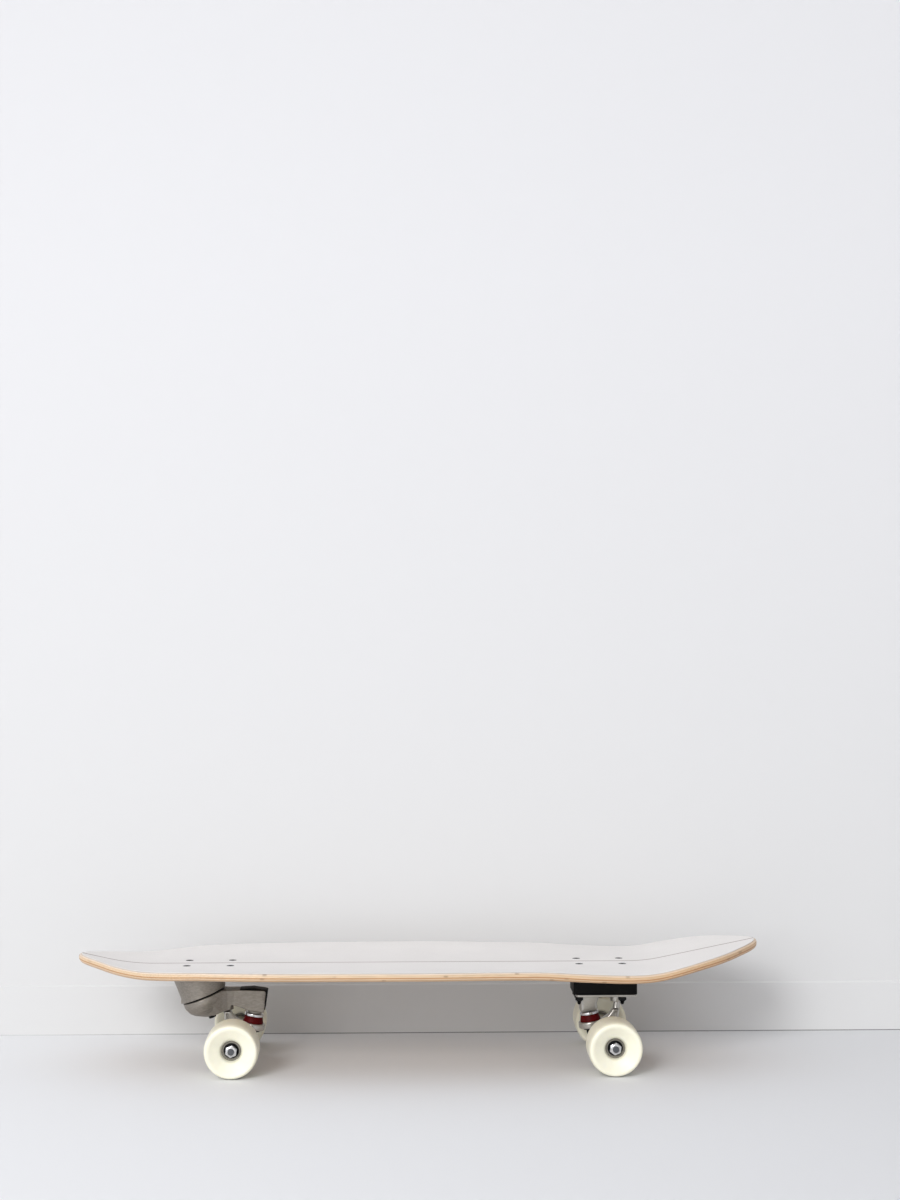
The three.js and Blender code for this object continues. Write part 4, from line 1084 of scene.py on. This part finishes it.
class SURFSKATE_OT_arm(BuildStep):
    """Swing arm: bowl round the shaft, and the beam that carries the front truck"""

    bl_idname = "surfskate.arm"
    bl_label = "Swing arm"

    def execute(self, context):
        bowl = [
            (0, -1), (28, -1), (28, -6.2), (27.3, -9.3), (24.4, -15.5), (19.6, -19.9), (13.4, -23.3),
            (8.4, -26.1), (5.6, -26.9), (0, -26.9),
        ]
        arm = settle(turned(bowl, 128), SWING)
        pad = settle(rod(8.6, 0, 5.5, 96), KINGPIN["front"])
        pivot_line = TRUCK["front"] @ PIVOT_LINE
        boss_line = TRUCK["front"] @ Matrix.Translation((PIVOT.x - 1.2 * MM, 0, 0))
        join(arm, self.beam(), pad, settle(rod(11, 31.7, 51, 96), boss_line))
        cut(arm, settle(large_cutter(LARGE / 2 - 1), SWING))
        pocket = turned([(0, 28), (7.8, 28), (7.5, 40), (0, 40)])
        cut(arm, settle(pocket, pivot_line), settle(rod(7.8, 38, 49.5), pivot_line))
        bore_for_kingpin(arm, KINGPIN["front"], 60)
        cut(arm, settle(rod(11.3, -20.6, 1, 96), SWING), settle(rod(3, -30, -18), SWING))
        cast(arm, grain=0.6, rounds=5)
        cut(arm, self.cover(GAP))
        fit_out(arm, "cast_swing_arm", "swing", "casting", "swing_arm", angle=80)
        cover = soften(self.cover(0), 0.8, angle=40)
        fit_out(cover, "moulded_arm_cover", "swing", "black", "arm_cover")
        return {"FINISHED"}

    def side_point(self, along, up):
        """Point of the beam from the side: shares of a length from the shaft, and of a height."""
        length, height = 105.5, 57.3
        return SWING_CENTRE.x / MM + along * length, AXLE["front"].z / MM + up * height

    def beam(self):
        """Beam with its outlines from the side, from above and along the board."""
        shares = [
            (0.02, 0.5), (0.06, 0.45), (0.135, 0.455), (0.235, 0.545), (0.32, 0.575), (0.335, 0.68),
            (0.43, 0.625), (0.485, 0.595), (0.5, 0.56), (0.712, 0.507), (0.752, 0.978), (0.43, 1),
            (0.21, 1), (0.07, 0.9),
        ]
        width = 54
        beam = prism([self.side_point(*share) for share in shares], width)
        keel = prism([(-27.5, 110), (-27.5, 77), (-12, 56), (12, 56), (27.5, 77), (27.5, 110)], 700)
        settle(keel, Matrix.Rotation(math.pi / 2, 4, "Z"))
        shaft_x = SWING_CENTRE.x / MM
        half = [(0, width / 2), (10, 25.8), (18, 22), (24, 17.4), (30, 14.6), (38, 13.5)]
        half += arc((73.3, 7.5), 6, 90, 15, 6)
        above = [(shaft_x + x, y) for x, y in half] + [(shaft_x + x, -y) for x, y in reversed(half)]
        return soften(keep_inside(beam, slab(above, 30, 110), keel), 1.4, angle=50)

    def cover(self, margin):
        """Cover on the top and the end of the beam, grown by a margin to cut its recess."""
        start, top = self.side_point(0.43, 1)
        end, end_top = self.side_point(0.752, 0.978)
        foot, bottom = self.side_point(0.7205, 0.56)
        start -= margin
        bottom -= margin
        deep, width = 1.2 + margin, 24.6 + 2 * margin
        outline = [
            (start, top + 0.6), (start, top - deep), (end - deep, end_top - deep), (foot - deep, bottom),
            (foot + 0.6, bottom), (end + 0.6, end_top - 0.4), (end - 2.5, end_top + 0.5),
            ((start + end) / 2, top + 1.5),
        ]
        return prism(outline, width)


class SURFSKATE_OT_swing_parts(BuildStep):
    """Shaft, bearings, thrust ring, hub, spring and screw of the swing joint"""

    bl_idname = "surfskate.swing_parts"
    bl_label = "Swing joint"

    def execute(self, context):
        for piece, name, body, finish, node in (
            (self.shaft(), "swing_shaft", "board", "oxide", "pivot_shaft"),
            (self.bearing(-7.3, -1.3), "upper_swing_bearing", "swing", "steel", "upper_arm_bearing"),
            (self.bearing(-20.3, -14.3), "lower_swing_bearing", "swing", "steel", "lower_arm_bearing"),
            (ring(25, 19.5, -0.7, 0.7, 128), "thrust_ring", "board", "seal", "thrust_bearing"),
            (self.hub(), "spring_sleeve", "swing", "oxide", "spring_hub"),
            (self.spring(), "torsion_spring", "board", "steel", "return_spring"),
            (self.screw(), "shaft_screw", "board", "oxide", "retaining_screw"),
        ):
            fit_out(settle(piece, SWING), name, body, finish, node)
        return {"FINISHED"}

    def shaft(self):
        """Stepped shaft with a screw hole in its lower end."""
        outline = [
            (0, -20), (6, -20), (6, -14), (7.5, -14), (7.5, -7.6), (6, -7.6), (6, 22.3), (9.5, 22.3),
            (9.5, 27.3), (0, 27.3),
        ]
        return cut(soften(turned(outline), 0.4), rod(3, -30, -10.6))

    def bearing(self, low, high):
        """Ball bearing with a step between its rings on both faces."""
        step = 0.5
        return turned_ring(
            [
                (6.3, low), (7.9, low), (8.0, low + step), (9.4, low + step), (9.5, low), (11, low),
                (11, high), (9.5, high), (9.4, high - step), (8.0, high - step), (7.9, high), (6.3, high),
            ]
        )

    def hub(self):
        """Flanged sleeve inside the spring."""
        outline = [(6.3, -0.7), (18, -0.7), (18, 2.2), (10.8, 2.2), (10.8, 17), (6.3, 17)]
        return soften(turned_ring(outline, 96), 0.4)

    def screw(self):
        """Screw with a thin head and a hexagonal socket, from below."""
        thread = thread_points(2.7, -23, -16.6, pitch=0.8, depth=0.3)
        head = [(0, -30.2), (4.3, -30.2), (4.8, -29.7), (4.8, -27.2), (2.7, -27.2), (2.7, -23)]
        return cut(turned([*head, *thread, (2.2, -15.9), (0, -15.9)]), hexagon(4, -32, -28.2))

    def spring(self):
        """Coil spring: a round wire wound by the screw modifier, its ends closed."""
        wire_radius, mean_radius, start, pitch, turns, steps = 1.95, 14, 4.5, 4.7, 2.5, 120
        deselect_all()
        bpy.ops.mesh.primitive_circle_add(
            vertices=20,
            radius=wire_radius * MM,
            fill_type="NGON",
            location=(mean_radius * MM, 0, start * MM),
            rotation=(math.pi / 2, 0, 0),
        )
        coil = settle(bpy.context.object)
        apply(
            coil,
            "SCREW",
            angle=math.tau * turns,
            screw_offset=pitch * turns * MM,
            steps=steps,
            render_steps=steps,
            use_smooth_shade=True,
        )
        take(coil)
        bpy.ops.object.mode_set(mode="EDIT")
        bpy.ops.mesh.select_all(action="SELECT")
        bpy.ops.mesh.remove_doubles(threshold=FINE)
        bpy.ops.mesh.select_all(action="DESELECT")
        bpy.ops.mesh.select_non_manifold()
        bpy.ops.mesh.edge_face_add()
        return heal()


class SURFSKATE_OT_wheels(BuildStep):
    """Urethane wheels with their bearings and shields"""

    bl_idname = "surfskate.wheels"
    bl_label = "Wheels and bearings"

    def execute(self, context):
        bearing_place = 8.5
        wheel = self.wheel()
        bearing = self.bearing()
        shield = turned_ring(
            [(6.45, 2.55), (6.7, 2.85), (8.6, 2.85), (8.9, 2.6), (9.15, 2.6), (9.15, 1.9), (6.45, 1.9)]
        )
        # A thin grey ring in the bearings' steel at the lip of the wheel's bore, which widens the grey
        # ring seen round each bearing
        core = ring(12.0, 11.1, 12.2, 12.75, 96, soft=0.15)
        for side in SIDES:
            for hand, sign in HANDS.items():
                name, body = f"{side}_{hand}", f"{side}_{hand}_wheel_set"
                middle = AXLE[side] + Vector((0, sign * WHEEL_Y, 0))
                out = Matrix.Translation(middle) @ Matrix.Rotation(-sign * math.pi / 2, 4, "X")
                tyre = copy_of(wheel, out)
                fit_out(tyre, f"{name}_tyre", body, "urethane", f"{name}_wheel", angle=50)
                for face, way in (("outer", UPRIGHT), ("inner", UPSIDE_DOWN)):
                    part = f"{name}_{face}"
                    spot = out @ way @ at(0, 0, bearing_place)
                    fit_out(copy_of(bearing, spot), f"{part}_races", body, "bearing", f"{part}_bearing")
                    fit_out(copy_of(shield, spot), f"{part}_shield", body, "seal")
                    fit_out(copy_of(core, out @ way), f"{part}_grey_bore_ring", body, "bearing")
        discard(wheel, bearing, shield, core)
        return {"FINISHED"}

    def wheel(self):
        """Cream wheel: a centred core, a coned face and a round lip, alike on both sides."""
        lip = sizes().lip / MM
        half = [
            (8.5, 0), (8.5, 4.4), (8.8, 4.7), (11.05, 4.7), (11.05, 12.15), (12.05, 12.15),
            (12.1, 12.9), (12.5, 14.0), (13.1, 16.0), (14.0, 17.6), (15.5, 18.7), (19.5, 20.9),
            (23.0, 22.8), (25.2, 24.2), (26.4, 24.9), (27.6, 25.3), (28.6, 25.45),
            *arc((29.0, 25.5 - lip), lip, 80, 12, 8), (32.35, 21.2), (32.75, 19.4), (32.95, 17.4),
            (33, 14), (33, 8),
        ]
        return turned(half + [(r, -y) for r, y in reversed(half)], 128)

    def bearing(self):
        """Bearing rings with a web between them, the inner one long enough to reach the nut."""
        return turned_ring(
            [
                (4.3, -8.35), (6.2, -8.35), (6.3, -3.3), (6.45, -2.4), (9.2, -2.4), (9.3, -3.3),
                (9.5, -3.5), (10.7, -3.5), (11, -3.2), (11, 3.2), (10.7, 3.5), (9.5, 3.5), (9.3, 3.3),
                (9.2, 1.8), (6.45, 1.8), (6.3, 3.4), (6.1, 3.6), (5.9, 4.3), (5.7, 4.5), (4.5, 4.5),
                (4.3, 4.3),
            ],
            96,
        )


class SURFSKATE_OT_stage(BuildStep):
    """Plain studio: pale floor and wall, soft lamps and the camera at the photograph's angle"""

    bl_idname = "surfskate.stage"
    bl_label = "Studio"

    def execute(self, context):
        self.room()
        self.lamps()
        deselect_all()
        # The lens and the place of the camera were solved from the wheels and the deck bolts
        yaw, focal_pixels, height_pixels, sensor = math.radians(1.88), 2192, 1200, 36
        bpy.ops.object.camera_add(location=(-0.0518, -2.75, 0.5762), rotation=(math.pi / 2, 0, -yaw))
        bpy.context.scene.camera = bpy.context.object
        bpy.context.object.data.sensor_width = sensor
        bpy.context.object.data.lens = sensor * focal_pixels / height_pixels
        bpy.context.scene.view_settings.view_transform = "Standard"
        return {"FINISHED"}

    def room(self):
        """Floor, and behind the board a wall with a low skirting."""
        reach, skirting, top, step = 6000, 167, 66, 2
        deselect_all()
        bpy.ops.mesh.primitive_plane_add(size=10 * reach * MM)
        floor = bpy.context.object
        floor.name = "studio_floor"
        floor.data.materials.append(floor_paint())
        outline = [
            (skirting, 0), (skirting, top - step), (skirting + step, top), (skirting + step, reach)
        ]
        trace([(-reach, y, z) for y, z in outline])
        bpy.ops.mesh.select_all(action="SELECT")
        bpy.ops.mesh.extrude_region_move(TRANSFORM_OT_translate={"value": (2 * reach * MM, 0, 0)})
        bpy.ops.mesh.select_all(action="SELECT")
        bpy.ops.mesh.flip_normals()
        bpy.ops.object.mode_set(mode="OBJECT")
        back_wall = bpy.context.object
        back_wall.name = "studio_wall"
        back_wall.data.materials.append(wall_paint())

    def lamps(self):
        """A broad soft lamp high on the left, one soft box for the glints, and light all round from the
        room, brighter above on the left.
        """
        for kind, name, place, energy, settings in (
            ("SUN", "broad_lamp", (-1.2, -2.6, 1.5), 1.05, {"angle": math.radians(18)}),
            ("AREA", "soft_box", (-1.1, -2.5, 0.9), 18, {"size": 1.4}),
        ):
            deselect_all()
            bpy.ops.object.light_add(type=kind, location=place)
            lamp = bpy.context.object
            lamp.name = name
            lamp.data.energy = energy
            for key, value in settings.items():
                setattr(lamp.data, key, value)
            lamp.rotation_euler = (-Vector(place)).to_track_quat("-Z", "Y").to_euler()
        world = bpy.context.scene.world or bpy.data.worlds.new("studio")
        bpy.context.scene.world = world
        world.use_nodes = True
        add = partial(add_node, world.node_tree)
        # The room is light above on the left and dim on the right, which gives metal its shading
        way = add("TexCoord", output="Generated")
        lit_side = (-0.5, -0.15, 0.5)
        facing = add("VectorMath", way, lit_side, output="Value", operation="DOT_PRODUCT")
        level = add("MapRange", facing, -0.6, 0.75, 0.26, 1.0)
        background = world.node_tree.nodes["Background"]
        background.inputs["Color"].default_value = (*linear("#F6F6F8"), 1)
        link_to(background, Strength=level)


class SURFSKATE_OT_finishes(BuildStep):
    """Materials of all the pieces, each listed with the name of a slot"""

    bl_idname = "surfskate.finishes"
    bl_label = "Finishes"

    def execute(self, context):
        colours = finishes()
        grey = tumbled_casting("tumbled_casting", colours.casting, spots=0.13, roughness=0.5, dents=0.08)
        raw = tumbled_casting("raw_casting", colours.truck, spots=0.05, roughness=0.3, dents=0.004)
        axle = tumbled_casting("axle_steel", colours.axle, spots=0.05, roughness=0.4, dents=0.02)
        bearing = tumbled_casting("bearing_steel", colours.bearing, spots=0.04, roughness=0.4, dents=0.01)
        FINISHES.update(
            maple=("deck_wood", laminated_maple()),
            grip=("grip_surface", grip_coat()),
            casting=("grey_cast_metal", grey),
            truck=("bright_cast_metal", raw),
            axle=("bright_steel", axle),
            bearing=("bright_steel", bearing),
            steel=("bright_steel", plated_steel()),
            oxide=("black_steel", black_oxide()),
            black=("black_plastic", moulded_black()),
            seal=("black_plastic", moulded_black("seal_rubber", 0.45)),
            nylon=("black_plastic", insert_nylon()),
            urethane=("urethane", cast_urethane()),
            bushing=("bushing_urethane", bushing_urethane()),
        )
        return {"FINISHED"}


class SURFSKATE_PT_panel(bpy.types.Panel):
    """Build steps, sizes and colours of the surf skateboard"""

    bl_idname = "SURFSKATE_PT_panel"
    bl_label = "Surf Skate"
    bl_space_type = "VIEW_3D"
    bl_region_type = "UI"
    bl_category = "Surf Skate"

    def draw(self, context):
        column = self.layout.column(align=True)
        for step in STEPS:
            column.operator(step.bl_idname)
        for group in (sizes(), finishes()):
            box = self.layout.box()
            for key in group.bl_rna.properties.keys():
                if key not in {"rna_type", "name"}:
                    box.prop(group, key)


STEPS = (
    SURFSKATE_OT_stage,
    SURFSKATE_OT_finishes,
    SURFSKATE_OT_deck,
    SURFSKATE_OT_bolts,
    SURFSKATE_OT_riser,
    SURFSKATE_OT_baseplate,
    SURFSKATE_OT_hangers,
    SURFSKATE_OT_axles,
    SURFSKATE_OT_kingpins,
    SURFSKATE_OT_adapter,
    SURFSKATE_OT_arm,
    SURFSKATE_OT_swing_parts,
    SURFSKATE_OT_wheels,
)
CLASSES = (SURFSKATE_PG_sizes, SURFSKATE_PG_finishes, *STEPS, SURFSKATE_PT_panel)


def register():
    for cls in CLASSES:
        bpy.utils.register_class(cls)
    bpy.types.Scene.surfskate_sizes = bpy.props.PointerProperty(type=SURFSKATE_PG_sizes)
    bpy.types.Scene.surfskate_finishes = bpy.props.PointerProperty(type=SURFSKATE_PG_finishes)


def unregister():
    del bpy.types.Scene.surfskate_finishes
    del bpy.types.Scene.surfskate_sizes
    for cls in reversed(CLASSES):
        bpy.utils.unregister_class(cls)


def main():
    register()
    for step in STEPS:
        group, name = step.bl_idname.split(".")
        getattr(getattr(bpy.ops, group), name)()
    deselect_all()


if __name__ == "__main__":
    main()
